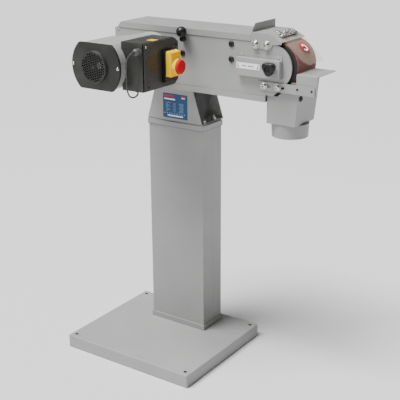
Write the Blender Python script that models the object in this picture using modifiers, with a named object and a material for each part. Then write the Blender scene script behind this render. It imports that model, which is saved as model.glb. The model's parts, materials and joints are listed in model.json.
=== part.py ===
"""Pedestal belt linisher: a floor column carries a long belt head. A direct-drive motor turns the belt
at one end, and a rubber contact wheel with a guard, an eye shield and a work rest is at the other.

Machine frame: X along the head towards the contact wheel, -Y towards the motor's fan, Z up from the
floor. Every piece is drawn in that frame, and one empty moves them all so that the origin is the
centre of the machine's footprint on the floor.
"""
import math

import bmesh
import bpy
from mathutils import Matrix, Vector

# ---------------------------------------------------------------- driving dimensions, in metres
GAP = 0.0003                      # between pieces that touch
SHEET = 0.002                     # folded sheet steel

BASE_HALF_X, BASE_HALF_Y, BASE_HEIGHT = 0.2250, 0.1945, 0.040
BASE_SHEET, BASE_HOLE_INSET, BASE_HOLE_R = 0.003, 0.018, 0.0055

COLUMN_X = (-0.0905, 0.1057)
COLUMN_Y = (0.0642, 0.1621)
COLUMN_SEAM_Y = 0.1131
COLUMN_TOP = 0.6944
COLLAR_TOP, COLLAR_PROUD = 0.0574, 0.0030
CAP_Z = (0.6814, 0.6977)
CAP_OVERHANG = 0.0035

HEAD_X = (-0.1987, 0.3215)        # left end, and right end of the bottom tray
HEAD_Y = (0.0505, 0.1755)         # outer faces of the side plate and of the rear door
HEAD_FLOOR, TRAY_TOP = 0.7996, 0.8161
COVER_SEAM, HEAD_TOP = 0.9618, 0.9795
PLATE = 0.004

WHEEL_Z = 0.8990
DRIVE_X, CONTACT_X = -0.0560, 0.3470      # centres 403 mm apart: a 1220 mm belt
WHEEL_R, WHEEL_Y = 0.0642, (0.0600, 0.1660)
BELT_Y, BELT_OUTER_R, BELT_THICK = (0.0620, 0.1640), 0.0660, 0.0012
PLATE_NOSE, PLATE_NOSE_R = (0.3400, 0.8985), 0.0608

MOTOR_R, MOTOR_NEAR_Y = 0.0750, -0.2002
NECK_R, FLANGE_R, STATOR_R = 0.0615, 0.0600, 0.0550  # the housing narrows towards its mounting face
FAN_COVER_R, FAN_COVER_FLAT, FAN_BOSS_R, FAN_BOSS_Y = 0.0840, 0.0630, 0.0440, -0.2180

SHAFT_R, AXLE_R = 0.0088, 0.0100
TENSION_TRAVEL = 0.0080

BOX_X, BOX_Y, BOX_Z = (0.0015, 0.0725), (-0.1670, -0.0125), (0.8355, 0.9665)
LID_X = (0.0728, 0.0775)
SWITCH_Y, SWITCH_Z = -0.0655, 0.8930      # centre of the switch on the lid

GUARD_X, GUARD_TOP, STOP_TOP = 0.2745, 0.9855, 1.0075
GUARD_BOLTS = ((0.2895, 0.9545), (0.3240, 0.9550))
REST_BOLTS = ((0.3186, 0.8460), (0.3602, 0.8460))
REST_ARM_X, REST_ARM_Z = (0.3030, 0.4720), (0.8325, 0.8575)
TABLE_X, TABLE_Y, TABLE_TOP = (0.4150, 0.4780), (0.0505, 0.1570), 0.8860
PLATEN_SCREWS = ((0.2115, 0.9480), (0.2115, 0.9060))
HOPPER_X, HOPPER_Y, HOPPER_Z = (0.3220, 0.4105), (0.0575, 0.1685), (0.7400, 0.8615)
SPOUT_XY, SPOUT_R, SPOUT_BOTTOM = (0.3663, 0.1130), (0.0530, 0.0510), 0.7000
LEVER_XZ, LEVER_ARM = (0.0530, 0.9490), 0.0225
CABLE_R = 0.0022

FOOTPRINT_SHIFT = (
    -(TABLE_X[1] - BASE_HALF_X) / 2,
    -(BASE_HALF_Y + FAN_BOSS_Y) / 2,
    0.0,
)

ROUND, FINE = 32, 48              # segments of small and of large round pieces


# ---------------------------------------------------------------- scene and finishes
def clear_scene():
    for old in list(bpy.data.objects):
        bpy.data.objects.remove(old, do_unlink=True)


def collection(name):
    made = bpy.data.collections.new(name)
    bpy.context.scene.collection.children.link(made)
    return made


def finish(name, colour, roughness, metallic=0.0, alpha=1.0):
    made = bpy.data.materials.new(name)
    made.use_nodes = True
    shader = made.node_tree.nodes["Principled BSDF"]
    shader.inputs["Base Color"].default_value = (*colour, 1.0)
    shader.inputs["Roughness"].default_value = roughness
    shader.inputs["Metallic"].default_value = metallic
    shader.inputs["Alpha"].default_value = alpha
    return made


clear_scene()
PARTS = collection("belt_linisher")
CUTTERS = collection("cutters")
MACHINE = bpy.data.objects.new("machine_frame", None)
MACHINE.location = FOOTPRINT_SHIFT
PARTS.objects.link(MACHINE)

GREY = finish("grey_paint", (0.40, 0.41, 0.41), 0.42)
MOTOR_GREY = finish("motor_grey", (0.55, 0.56, 0.55), 0.40)
BLACK = finish("black_paint", (0.035, 0.035, 0.032), 0.50)
BLACK_PLASTIC = finish("black_plastic", (0.02, 0.02, 0.02), 0.38)
STEEL = finish("steel", (0.60, 0.60, 0.60), 0.35, 1.0)
CHROME = finish("chrome", (0.80, 0.80, 0.80), 0.12, 1.0)
ALUMINIUM = finish("aluminium", (0.72, 0.72, 0.73), 0.35, 1.0)
RUBBER = finish("rubber", (0.02, 0.02, 0.02), 0.80)
ABRASIVE = finish("abrasive", (0.23, 0.08, 0.06), 0.90)
COPPER = finish("winding", (0.45, 0.20, 0.10), 0.45, 0.6)
YELLOW = finish("yellow_plastic", (0.92, 0.60, 0.01), 0.40)
RED = finish("red_plastic", (0.60, 0.03, 0.02), 0.35)
GREEN = finish("green_plastic", (0.02, 0.35, 0.08), 0.40)
CLEAR = finish("clear_plastic", (0.85, 0.82, 0.75), 0.05, 0.0, 0.35)


# ---------------------------------------------------------------- modelling helpers
def new_object(name, mesh, material):
    made = bpy.data.objects.new(name, mesh)
    made.data.materials.append(material)
    made.parent = MACHINE
    PARTS.objects.link(made)
    return made


def mesh_from(name, bm):
    mesh = bpy.data.meshes.new(name)
    bm.to_mesh(mesh)
    bm.free()
    return mesh


def box(name, low, high, material):
    """A block between two corners."""
    low, high = Vector(low), Vector(high)
    bm = bmesh.new()
    bmesh.ops.create_cube(bm, size=1.0)
    bmesh.ops.scale(bm, vec=high - low, verts=bm.verts)
    bmesh.ops.translate(bm, vec=(low + high) / 2, verts=bm.verts)
    return new_object(name, mesh_from(name, bm), material)


def rod(name, start, end, radius, material, segments=ROUND):
    """A round bar."""
    start, end = Vector(start), Vector(end)
    along = end - start
    bm = bmesh.new()
    bmesh.ops.create_cone(
        bm,
        cap_ends=True,
        segments=segments,
        radius1=radius,
        radius2=radius,
        depth=along.length,
    )
    turn = along.to_track_quat("Z", "Y").to_matrix().to_4x4()
    bmesh.ops.transform(bm, matrix=Matrix.Translation((start + end) / 2) @ turn, verts=bm.verts)
    made = new_object(name, mesh_from(name, bm), material)
    smooth(made)
    return made


def smooth(made, degrees=35):
    made.data.shade_smooth()
    made.data.set_sharp_from_angle(angle=math.radians(degrees))


def turned(name, centre, profile, material, segments=ROUND, axis="Y"):
    """A turned piece. The profile is (distance along the axis, radius) and closes on itself, or on
    the axis where both of its ends have no radius."""
    around = zip(profile, profile[1:] + profile[:1])
    area = sum(r0 * z1 - r1 * z0 for (z0, r0), (z1, r1) in around)
    points = profile if area < 0 else profile[::-1]
    on_axis = points[0][1] == 0 and points[-1][1] == 0
    bm = bmesh.new()
    verts = [bm.verts.new((radius, 0.0, along)) for along, radius in points]
    pairs = list(zip(verts, verts[1:]))
    if not on_axis:
        pairs.append((verts[-1], verts[0]))
    for pair in pairs:
        bm.edges.new(pair)
    made = new_object(name, mesh_from(name, bm), material)
    made.location = centre
    made.rotation_euler = {"Y": (-math.pi / 2, 0, 0), "Z": (0, 0, 0), "X": (0, math.pi / 2, 0)}[axis]
    screw = made.modifiers.new("turn", "SCREW")
    screw.axis = "Z"
    screw.steps = segments
    screw.render_steps = segments
    screw.use_merge_vertices = True
    screw.merge_threshold = 0.00001
    return made


def arc(centre, radius, start, end, steps):
    """Points on a circle in a plane, from one angle to another in degrees."""
    angles = (math.radians(start + (end - start) * i / steps) for i in range(steps + 1))
    return [(centre[0] + radius * math.cos(a), centre[1] + radius * math.sin(a)) for a in angles]


PLANE_TURN = {"XZ": (math.pi / 2, 0, 0), "YZ": (math.pi / 2, 0, math.pi / 2), "XY": (0, 0, 0)}
PLANE_DEPTH = {"XZ": (0, 1, 0), "YZ": (1, 0, 0), "XY": (0, 0, 1)}


def flat(name, plane, outlines, span, material):
    """A flat outline, or an outline with holes, drawn in a plane and thickened over a span."""
    curve = bpy.data.curves.new(name + "_outline", "CURVE")
    curve.dimensions = "2D"
    curve.fill_mode = "BOTH"
    curve.extrude = (span[1] - span[0]) / 2
    for outline in outlines:
        spline = curve.splines.new("POLY")
        spline.points.add(len(outline) - 1)
        for point, (across, up) in zip(spline.points, outline):
            point.co = (across, up, 0.0, 1.0)
        spline.use_cyclic_u = True
    guide = bpy.data.objects.new(name + "_outline", curve)
    guide.rotation_euler = PLANE_TURN[plane]
    guide.location = Vector(PLANE_DEPTH[plane]) * (span[0] + span[1]) / 2
    PARTS.objects.link(guide)
    bpy.context.view_layer.update()
    seen = guide.evaluated_get(bpy.context.evaluated_depsgraph_get())
    mesh = bpy.data.meshes.new_from_object(seen)
    bm = bmesh.new()
    bm.from_mesh(mesh)
    bmesh.ops.remove_doubles(bm, verts=bm.verts, dist=0.00001)
    bmesh.ops.transform(bm, matrix=guide.matrix_world, verts=bm.verts)
    bmesh.ops.recalc_face_normals(bm, faces=bm.faces)
    bpy.data.objects.remove(guide, do_unlink=True)
    bpy.data.meshes.remove(mesh)
    return new_object(name, mesh_from(name, bm), material)


def tube(name, points, radius, material):
    """A round wire through points."""
    curve = bpy.data.curves.new(name, "CURVE")
    curve.dimensions = "3D"
    curve.bevel_depth = radius
    curve.bevel_resolution = 2
    curve.use_fill_caps = True
    spline = curve.splines.new("POLY")
    spline.points.add(len(points) - 1)
    for point, place in zip(spline.points, points):
        point.co = (*place, 1.0)
    return new_object(name, curve, material)


def combine(target, others, operation):
    for index, other in enumerate(others):
        step = target.modifiers.new(f"{operation.lower()}_{index + 1}", "BOOLEAN")
        step.operation = operation
        step.object = other
        PARTS.objects.unlink(other)
        CUTTERS.objects.link(other)
        other.hide_render = True
        other.display_type = "WIRE"
    return target


def cut(target, *cutters):
    return combine(target, cutters, "DIFFERENCE")


def fuse(target, *pieces):
    return combine(target, pieces, "UNION")


def hinge_at(made, point):
    """Puts a moving piece's origin on its joint."""
    point = Vector(point)
    made.data.transform(Matrix.Translation(-point))
    made.location = point
    return made


def smooth_route(points, per_span):
    """Points on a smooth curve through the route's own points."""
    ends = [points[0], *points, points[-1]]
    route = []
    for before, here, after, beyond in zip(ends, ends[1:], ends[2:], ends[3:]):
        a, b, c, d = map(Vector, (before, here, after, beyond))
        for i in range(per_span):
            t = i / per_span
            route.append(
                0.5 * (2 * b + (c - a) * t + (2 * a - 5 * b + 4 * c - d) * t**2
                       + (3 * b - a - 3 * c + d) * t**3)
            )
    return [*route, Vector(points[-1])]


# ---------------------------------------------------------------- stand
def base_plate():
    edge = BASE_SHEET
    made = box("base_plate", (-BASE_HALF_X, -BASE_HALF_Y, 0), (BASE_HALF_X, BASE_HALF_Y, BASE_HEIGHT), GREY)
    inside = box(
        "base_inside",
        (-BASE_HALF_X + edge, -BASE_HALF_Y + edge, -0.01),
        (BASE_HALF_X - edge, BASE_HALF_Y - edge, BASE_HEIGHT - edge),
        GREY,
    )
    holes = []
    for side_x in (-1, 1):
        for side_y in (-1, 1):
            x = side_x * (BASE_HALF_X - BASE_HOLE_INSET)
            y = side_y * (BASE_HALF_Y - BASE_HOLE_INSET)
            holes.append(rod("base_hole", (x, y, 0.02), (x, y, 0.06), BASE_HOLE_R, GREY, 16))
    return cut(made, inside, *holes)


def column():
    (x0, x1), (y0, y1) = COLUMN_X, COLUMN_Y
    wall, foot, proud = SHEET, BASE_HEIGHT + GAP, COLLAR_PROUD
    for name, near, far, open_side in (
        ("column_front_channel", y0, COLUMN_SEAM_Y, 1),
        ("column_rear_channel", COLUMN_SEAM_Y + GAP, y1, -1),
    ):
        shell = box(name, (x0, near, foot), (x1, far, COLUMN_TOP), GREY)
        inner_near = near + wall if open_side > 0 else near - 0.01
        inner_far = far + 0.01 if open_side > 0 else far - wall
        cut(shell, box(name + "_inside", (x0 + wall, inner_near, 0), (x1 - wall, inner_far, 0.8), GREY))
    collar = box("column_foot_collar", (x0 - proud, y0 - proud, foot), (x1 + proud, y1 + proud, COLLAR_TOP), GREY)
    cut(collar, box("collar_inside", (x0 - GAP, y0 - GAP, 0), (x1 + GAP, y1 + GAP, 0.1), GREY))
    over = CAP_OVERHANG
    cap = box("column_cap", (x0 - over, y0 - over, CAP_Z[0]), (x1 + over, y1 + over, CAP_Z[1]), GREY)
    cut(cap, box("cap_inside", (x0 - GAP, y0 - GAP, 0.6), (x1 + GAP, y1 + GAP, COLUMN_TOP + GAP), GREY))


BRACKET_Z = (CAP_Z[1] + GAP, HEAD_FLOOR - GAP)
BRACKET_SHEET = 0.003
BRACKET_Y = (COLUMN_Y[0], 0.1770)
BRACKET_FOOT_X, BRACKET_NECK_X = (-0.0951, 0.1035), (-0.0645, 0.0708)
BRACKET_BOLTS = ((0.0915, 0.0880), (0.0915, 0.1420))


def head_bracket():
    low, high = BRACKET_Z
    outline = [
        (BRACKET_FOOT_X[0], low),
        (BRACKET_FOOT_X[1], low),
        (BRACKET_NECK_X[1], high),
        (BRACKET_NECK_X[0], high),
    ]
    made = flat("head_bracket", "XZ", [outline], BRACKET_Y, GREY)
    wall = BRACKET_SHEET
    cut(made, box("bracket_inside", (-0.2, BRACKET_Y[0] + wall, low + wall),
                  (0.2, BRACKET_Y[1] - wall, high - wall), GREY))
    for index, (x, y) in enumerate(BRACKET_BOLTS, start=1):
        cut(made, rod("bracket_hole", (x, y, 0.69), (x, y, 0.72), 0.0043, GREY, 16))
        cut(bpy.data.objects["column_cap"], rod("cap_hole", (x, y, 0.68), (x, y, 0.72), 0.0043, GREY, 16))
        head = low + wall + GAP
        turned(
            f"bracket_bolt_{index}", (x, y, head),
            [(0.0065, 0.0), (0.0065, 0.0050), (0.0050, 0.0065), (0.0015, 0.0065), (0.0015, 0.0085),
             (0.0, 0.0085), (0.0, 0.0040), (-0.0150, 0.0040), (-0.0150, 0.0)],
            STEEL, 16, "Z",
        )


# ---------------------------------------------------------------- head
def side_plate_outline(left, low, high, tray_end):
    """The long plate whose right end is round, around the contact wheel."""
    return [
        (left, low),
        (tray_end, low),
        (tray_end, 0.8195),
        (0.3450, 0.8195),
        *arc(PLATE_NOSE, PLATE_NOSE_R, -52, 80, 22),
        (0.3380, high),
        (left, high),
    ]


def head_side_plate():
    top = COVER_SEAM - 2 * GAP
    outline = side_plate_outline(HEAD_X[0], HEAD_FLOOR + SHEET + GAP, top, HEAD_X[1])
    made = flat("head_side_plate", "XZ", [outline], (HEAD_Y[0], HEAD_Y[0] + PLATE), GREY)
    holes = [rod("shaft_hole", (DRIVE_X, 0.0, WHEEL_Z), (DRIVE_X, 0.1, WHEEL_Z), 0.0250, GREY)]
    slot = [
        *arc((CONTACT_X, WHEEL_Z), 0.0115, -90, 90, 10),
        *arc((CONTACT_X - TENSION_TRAVEL, WHEEL_Z), 0.0115, 90, 270, 10),
    ]
    holes.append(flat("axle_slot", "XZ", [slot], (0.04, 0.07), GREY))
    for x, z in GUARD_BOLTS + REST_BOLTS + PLATEN_SCREWS:
        holes.append(rod("plate_hole", (x, 0.04, z), (x, 0.07, z), 0.0043, GREY, 16))
    return cut(made, *holes)


def head_tray():
    y0, y1 = HEAD_Y[0] - SHEET, HEAD_Y[1] + SHEET
    made = box("head_tray", (HEAD_X[0], y0, HEAD_FLOOR), (HEAD_X[1], y1, TRAY_TOP), GREY)
    inside = box("tray_inside", (-0.3, HEAD_Y[0] - GAP, HEAD_FLOOR + SHEET), (0.5, HEAD_Y[1] + GAP, 0.9), GREY)
    return cut(made, inside)


HINGE_EAR_Y = ((0.0660, 0.0690), (0.1570, 0.1600))      # on the end plate
COVER_EAR_Y = ((0.0695, 0.0725), (0.1535, 0.1565))      # on the cover
COVER_HINGE = (-0.1955, 0.9560)
DOOR_HINGE = (-0.2015, 0.1742)
DOOR_Z = (TRAY_TOP + 2 * GAP, COVER_SEAM - 2 * GAP)


def head_end_plate():
    """The left end: a plate with two ears for the cover's pin, and the door's pin in two knuckles."""
    x0 = HEAD_X[0]
    made = box("head_end_plate", (x0, 0.0548, HEAD_FLOOR + SHEET + GAP), (x0 + 0.003, 0.1680, 0.9480), GREY)
    ears = []
    for span in HINGE_EAR_Y:
        x, z = COVER_HINGE
        outline = [(x0 + 0.0005, 0.9200), (x0 + 0.0080, 0.9300), *arc((x, z), 0.0055, 0, 180, 10),
                   (x0 + 0.0005, 0.9440)]
        ears.append(flat("hinge_ear", "XZ", [outline], span, GREY))
    x, y = DOOR_HINGE
    for low, high in ((0.8350, 0.8597), (0.9203, 0.9450)):
        ears.append(rod("door_knuckle", (x, y, low), (x, y, high), 0.0050, GREY, 16))
        ears.append(box("knuckle_tab", (x0, 0.1600, low), (x0 + 0.003, 0.1722, high), GREY))
    ears.append(rod("door_pin", (x, y, 0.8400), (x, y, 0.9400), 0.0025, GREY, 12))
    fuse(made, *ears)
    x, z = COVER_HINGE
    return cut(made, rod("ear_holes", (x, 0.05, z), (x, 0.18, z), 0.0028, GREY, 12))


def top_cover():
    """A folded channel, open below, whose left end slopes down to its hinge."""
    x0, x1 = -0.1900, GUARD_X - 0.0010
    y0, y1 = HEAD_Y[0] - SHEET, HEAD_Y[1] + SHEET
    slope = 0.0160
    outer = [(x0, COVER_SEAM), (x1, COVER_SEAM), (x1, HEAD_TOP), (x0 + slope, HEAD_TOP)]
    inner = [(x0 + 0.0025, 0.9500), (0.4, 0.9500), (0.4, HEAD_TOP - SHEET),
             (x0 + slope + 0.0010, HEAD_TOP - SHEET), (x0 + 0.0025, COVER_SEAM)]
    made = flat("top_cover", "XZ", [outer], (y0, y1), GREY)
    cut(made, flat("cover_inside", "XZ", [inner], (y0 + 0.0017, y1 - 0.0017), GREY))
    x, z = COVER_HINGE
    ears = []
    for span in COVER_EAR_Y:
        outline = [(x - 0.0020, z - 0.0050), *arc((x, z), 0.0055, 180, 100, 6), (x + 0.0200, HEAD_TOP - 0.0010),
                   (x + 0.0320, HEAD_TOP - 0.0010), (x + 0.0050, z - 0.0050)]
        ears.append(flat("cover_ear", "XZ", [outline], span, GREY))
    fuse(made, *ears)
    cut(made, rod("cover_ear_holes", (x, 0.05, z), (x, 0.18, z), 0.0031, GREY, 12))
    hinge_at(made, (x, 0.1130, z))
    return rod("cover_hinge_pin", (x, 0.0620, z), (x, 0.1640, z), 0.0025, STEEL, 12)


def rear_door():
    """The far side of the head, hinged on the left. It opens for a belt change."""
    outline = side_plate_outline(-0.1965, DOOR_Z[0], DOOR_Z[1], HEAD_X[1])
    y0, y1 = HEAD_Y[1] - 0.0027, HEAD_Y[1]
    made = flat("rear_door", "XZ", [outline], (y0, y1), GREY)
    x, y = DOOR_HINGE
    fuse(
        made,
        rod("door_sleeve", (x, y, 0.8600), (x, y, 0.9200), 0.0052, GREY, 16),
        box("door_leaf", (x, y - 0.0013, 0.8700), (x + 0.0200, y + 0.0012, 0.9100), GREY),
    )
    cut(made, rod("door_sleeve_bore", (x, y, 0.85), (x, y, 0.93), 0.0028, GREY, 12),
        rod("door_knob_hole", (0.2500, 0.16, 0.9350), (0.2500, 0.19, 0.9350), 0.0033, GREY, 12))
    hinge_at(made, (x, y, WHEEL_Z))
    knob = turned(
        "door_knob", (0.2500, y1 + GAP, 0.9350),
        [(0.0180, 0.0), (0.0180, 0.0100), (0.0150, 0.0125), (0.0050, 0.0125), (0.0035, 0.0080),
         (0.0, 0.0080), (0.0, 0.0030), (-0.0110, 0.0030), (-0.0110, 0.0)],
        BLACK_PLASTIC, 24,
    )
    return made, knob


def platen():
    """The flat steel bed under the top run of the belt, hung from the side plate."""
    top = WHEEL_Z + WHEEL_R
    made = box("platen", (0.0120, 0.0556, top - 0.0050), (0.2740, 0.1630, top - 0.0006), STEEL)
    fuse(made, box("platen_web", (0.1300, 0.0548, 0.8950), (0.2650, 0.0588, top - 0.0030), STEEL))
    for index, (x, z) in enumerate(PLATEN_SCREWS, start=1):
        cut(made, rod("platen_hole", (x, 0.05, z), (x, 0.07, z), 0.0043, STEEL, 16))
        dome_screw(f"platen_screw_{index}", (x, HEAD_Y[0] - GAP, z), 0.0090, 0.0038, 0.0088, BLACK)


def dome_screw(name, seat, radius, height, shank, material, washer=0.0):
    """A button-head screw along +Y: its dome stands out of the seat on the -Y side."""
    skirt = washer or radius
    profile = [
        (-height, 0.0),
        (-height, radius * 0.35),
        (-height * 0.75, radius * 0.72),
        (-height * 0.35, radius * 0.95),
        (-0.0012, radius),
        (-0.0012, skirt),
        (0.0, skirt),
        (0.0, 0.0040),
        (shank, 0.0040),
        (shank, 0.0),
    ]
    return turned(name, seat, profile, material, 24)


# ---------------------------------------------------------------- motor and drive wheel
def motor():
    axis = (DRIVE_X, 0.0, WHEEL_Z)
    near, far = MOTOR_NEAR_Y, HEAD_Y[0] - GAP
    front = far - 0.0100
    turned(
        "motor_housing", axis,
        [(near, 0.0580), (near, MOTOR_R - 0.0020), (near + 0.0020, MOTOR_R), (-0.1000, MOTOR_R),
         (-0.0850, MOTOR_R - 0.0012), (-0.0120, NECK_R + 0.0008), (0.0000, NECK_R), (front - GAP, NECK_R),
         (front - GAP, STATOR_R + GAP), (-0.1290, STATOR_R + GAP), (-0.1290, MOTOR_R - 0.0050),
         (near + 0.0040, MOTOR_R - 0.0050), (near + 0.0040, 0.0580)],
        MOTOR_GREY, FINE,
    )
    turned(
        "front_endshield", axis,
        [(front, 0.0102), (front, FLANGE_R), (far, FLANGE_R), (far, 0.0102)],
        MOTOR_GREY, FINE,
    )
    inner = MOTOR_R - 0.0054
    turned(
        "rear_endshield", axis,
        [(-0.1500, 0.0102), (-0.1500, inner), (-0.1420, inner), (-0.1420, 0.0102)],
        ALUMINIUM, FINE,
    )
    turned("stator", axis, [(-0.1250, 0.0400), (-0.1250, STATOR_R), (-0.0100, STATOR_R), (-0.0100, 0.0400)], COPPER, FINE)
    turned(
        "rotor", axis,
        [(-0.1200, SHAFT_R + GAP), (-0.1200, 0.0390), (-0.0150, 0.0390), (-0.0150, SHAFT_R + GAP)],
        STEEL, ROUND,
    )
    rod("motor_shaft", (DRIVE_X, -0.1920, WHEEL_Z), (DRIVE_X, 0.1500, WHEEL_Z), SHAFT_R, STEEL, 24)
    cooling_fan()
    fan_cover()
    y0, y1 = WHEEL_Y
    bore, rim = SHAFT_R + GAP, WHEEL_R - 0.0080
    turned(
        "drive_wheel", axis,
        [(y0, rim), (y0, WHEEL_R), (y1, WHEEL_R), (y1, rim), (0.1190, rim), (0.1190, 0.0220), (0.1450, 0.0220),
         (0.1450, bore), (0.0800, bore), (0.0800, 0.0220), (0.1070, 0.0220), (0.1070, rim)],
        ALUMINIUM, FINE,
    )


def cooling_fan():
    y0, y1, blades = -0.1880, -0.1640, 6
    hub = turned("cooling_fan", (DRIVE_X, 0.0, WHEEL_Z), [(y0, 0.0), (y0, 0.0160), (y1, 0.0160), (y1, 0.0)],
                 BLACK_PLASTIC, 24)
    vanes = []
    for index in range(blades):
        vane = box("fan_vane", (0.0120, y0 + 0.002, -0.0012), (0.0560, y1 - 0.002, 0.0012), BLACK_PLASTIC)
        vane.location = (DRIVE_X, 0.0, WHEEL_Z)
        vane.rotation_euler = (0.0, 2 * math.pi * index / blades, 0.0)
        vanes.append(vane)
    fuse(hub, *vanes)
    bore = rod("fan_bore", (DRIVE_X, -0.3, WHEEL_Z), (DRIVE_X, 0.0, WHEEL_Z), SHAFT_R + GAP, BLACK_PLASTIC, 24)
    return cut(hub, bore)


def fan_cover():
    """A black plate with flats above and below, and a raised round boss with the air holes."""
    front, back = -0.2080, MOTOR_NEAR_Y - GAP
    made = turned(
        "fan_cover", (DRIVE_X, 0.0, WHEEL_Z),
        [(FAN_BOSS_Y, 0.0), (FAN_BOSS_Y, FAN_BOSS_R - 0.001), (FAN_BOSS_Y + 0.001, FAN_BOSS_R), (front, FAN_BOSS_R),
         (front, FAN_COVER_R - 0.001), (front + 0.001, FAN_COVER_R), (back, FAN_COVER_R), (back, 0.0400),
         (FAN_BOSS_Y + 0.0025, 0.0400), (FAN_BOSS_Y + 0.0025, 0.0)],
        BLACK, FINE,
    )
    cutters = []
    for side in (-1, 1):
        z0, z1 = sorted((side * FAN_COVER_FLAT, side * 0.1))
        cutters.append(box("cover_flat", (-0.2, -0.3, WHEEL_Z + z0), (0.1, -0.1, WHEEL_Z + z1), BLACK))
    for index in range(6):
        turn = math.radians(60 * index)
        x, z = DRIVE_X + 0.0260 * math.cos(turn), WHEEL_Z + 0.0260 * math.sin(turn)
        cutters.append(rod("air_hole", (x, -0.23, z), (x, -0.205, z), 0.0095, BLACK, 12))
    return cut(made, *cutters)


# ---------------------------------------------------------------- contact wheel, tension, tracking
def contact_wheel():
    axis = (CONTACT_X, 0.0, WHEEL_Z)
    y0, y1 = WHEEL_Y
    turned(
        "contact_wheel_tyre", axis,
        [(y0, 0.0500), (y0, WHEEL_R - 0.0015), (y0 + 0.0015, WHEEL_R), (y1 - 0.0015, WHEEL_R),
         (y1, WHEEL_R - 0.0015), (y1, 0.0500)],
        RUBBER, FINE,
    )
    bore, seat, rim = 0.0140, 0.0193, 0.0410
    turned(
        "contact_wheel_hub", axis,
        [(y0, rim), (y0, 0.0497), (y1, 0.0497), (y1, rim), (0.1200, rim), (0.1200, 0.0270), (0.1500, 0.0270),
         (0.1500, seat), (0.1400, seat), (0.1400, bore), (0.0820, bore), (0.0820, seat), (0.0720, seat),
         (0.0720, 0.0270), (0.1060, 0.0270), (0.1060, rim)],
        ALUMINIUM, ROUND,
    )
    for name, low in (("wheel_bearing_near", 0.0723), ("wheel_bearing_far", 0.1403)):
        turned(
            name, axis,
            [(low, AXLE_R + GAP), (low, 0.0188), (low + 0.0090, 0.0188), (low + 0.0090, AXLE_R + GAP)],
            STEEL, 24,
        )
    rod("contact_axle", (CONTACT_X, 0.0390, WHEEL_Z), (CONTACT_X, 0.1520, WHEEL_Z), AXLE_R, STEEL, 24)
    block = box("axle_carriage", (0.3270, 0.0385, 0.8850), (0.3670, HEAD_Y[0] - GAP, 0.9130), STEEL)
    bore_end = (CONTACT_X, 0.08, WHEEL_Z)
    cut(block, rod("carriage_bore", (CONTACT_X, 0.03, WHEEL_Z), bore_end, AXLE_R + GAP, STEEL, 24))


def tension_spring():
    """A compression coil beside the carriage, under the tracking cover."""
    turns, per_turn, radius, wire = 7, 12, 0.0046, 0.0008
    x0, x1, y = 0.2560, 0.3255, 0.0443
    points = []
    for index in range(turns * per_turn + 1):
        turn = 2 * math.pi * index / per_turn
        x = x0 + (x1 - x0) * index / (turns * per_turn)
        points.append((x, y + radius * math.cos(turn), WHEEL_Z + radius * math.sin(turn)))
    return tube("tension_spring", points, wire, STEEL)


def tension_lever():
    x, z = LEVER_XZ
    y1 = HEAD_Y[0] - GAP
    made = rod("tension_lever", (x, y1 - 0.0140, z), (x, y1, z), 0.0075, BLACK, 20)
    arm = [*arc((x, z), 0.0045, 180, 360, 8), *arc((x, z + LEVER_ARM), 0.0045, 0, 180, 8)]
    fuse(made, flat("lever_arm", "XZ", [arm], (y1 - 0.0080, y1 - 0.0040), BLACK))
    hinge_at(made, (x, y1, z))
    ball = turned(
        "lever_ball", (x, y1 - 0.0083, z + LEVER_ARM),
        [(0.0, 0.0)] + [(-0.0125 * (1 - math.cos(a)), 0.0130 * math.sin(a))
                        for a in (math.pi * (1 - i / 12) for i in range(12))][2:] + [(-0.0, 0.0)],
        BLACK_PLASTIC, 24,
    )
    return made, ball


COVER_BOX_X, COVER_BOX_Z, COVER_FACE_Y = (0.2360, 0.3720), (0.8690, 0.9180), 0.0345


def tracking_cover():
    (x0, x1), (z0, z1) = COVER_BOX_X, COVER_BOX_Z
    back, wall = HEAD_Y[0] - GAP, 0.0015
    made = box("tracking_cover", (x0, COVER_FACE_Y, z0), (x1, back, z1), GREY)
    flange = box("cover_flange", (x0, back - wall, z1 - 0.0030), (x1, back, z1 + 0.0115), GREY)
    fuse(made, flange)
    inside = box("cover_box_inside", (x0 + wall, COVER_FACE_Y + wall, z0 + wall), (x1 - wall, 0.06, z1 - wall), GREY)
    hole = rod("knob_hole", (CONTACT_X, 0.03, WHEEL_Z), (CONTACT_X, 0.038, WHEEL_Z), 0.0043, GREY, 16)
    return cut(made, inside, hole)


def tracking_knob():
    """A three-lobed knob in line with the wheel's axle, with its screw through the cover."""
    lobes = 3
    steps = 36
    angles = [2 * math.pi * index / steps for index in range(steps)]
    outline = []
    for turn in angles:
        radius = 0.0180 + 0.0025 * math.cos(lobes * turn + math.pi / 2)
        outline.append((CONTACT_X + radius * math.cos(turn), WHEEL_Z + radius * math.sin(turn)))
    made = flat("tracking_knob", "XZ", [outline], (0.0120, 0.0290), BLACK_PLASTIC)
    fuse(
        made,
        rod("knob_neck", (CONTACT_X, 0.0270, WHEEL_Z), (CONTACT_X, COVER_FACE_Y - GAP, WHEEL_Z), 0.0110,
            BLACK_PLASTIC, 20),
        rod("knob_screw", (CONTACT_X, 0.0280, WHEEL_Z), (CONTACT_X, 0.0382, WHEEL_Z), 0.0040, STEEL, 16),
    )
    return hinge_at(made, (CONTACT_X, COVER_FACE_Y, WHEEL_Z))


def belt_loop(radius):
    half_turn = 24
    return [
        *arc((CONTACT_X, WHEEL_Z), radius, -90, 90, half_turn),
        *arc((DRIVE_X, WHEEL_Z), radius, 90, 270, half_turn),
    ]


def abrasive_belt():
    loops = [belt_loop(BELT_OUTER_R), belt_loop(BELT_OUTER_R - BELT_THICK)]
    return flat("abrasive_belt", "XZ", loops, BELT_Y, ABRASIVE)


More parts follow.
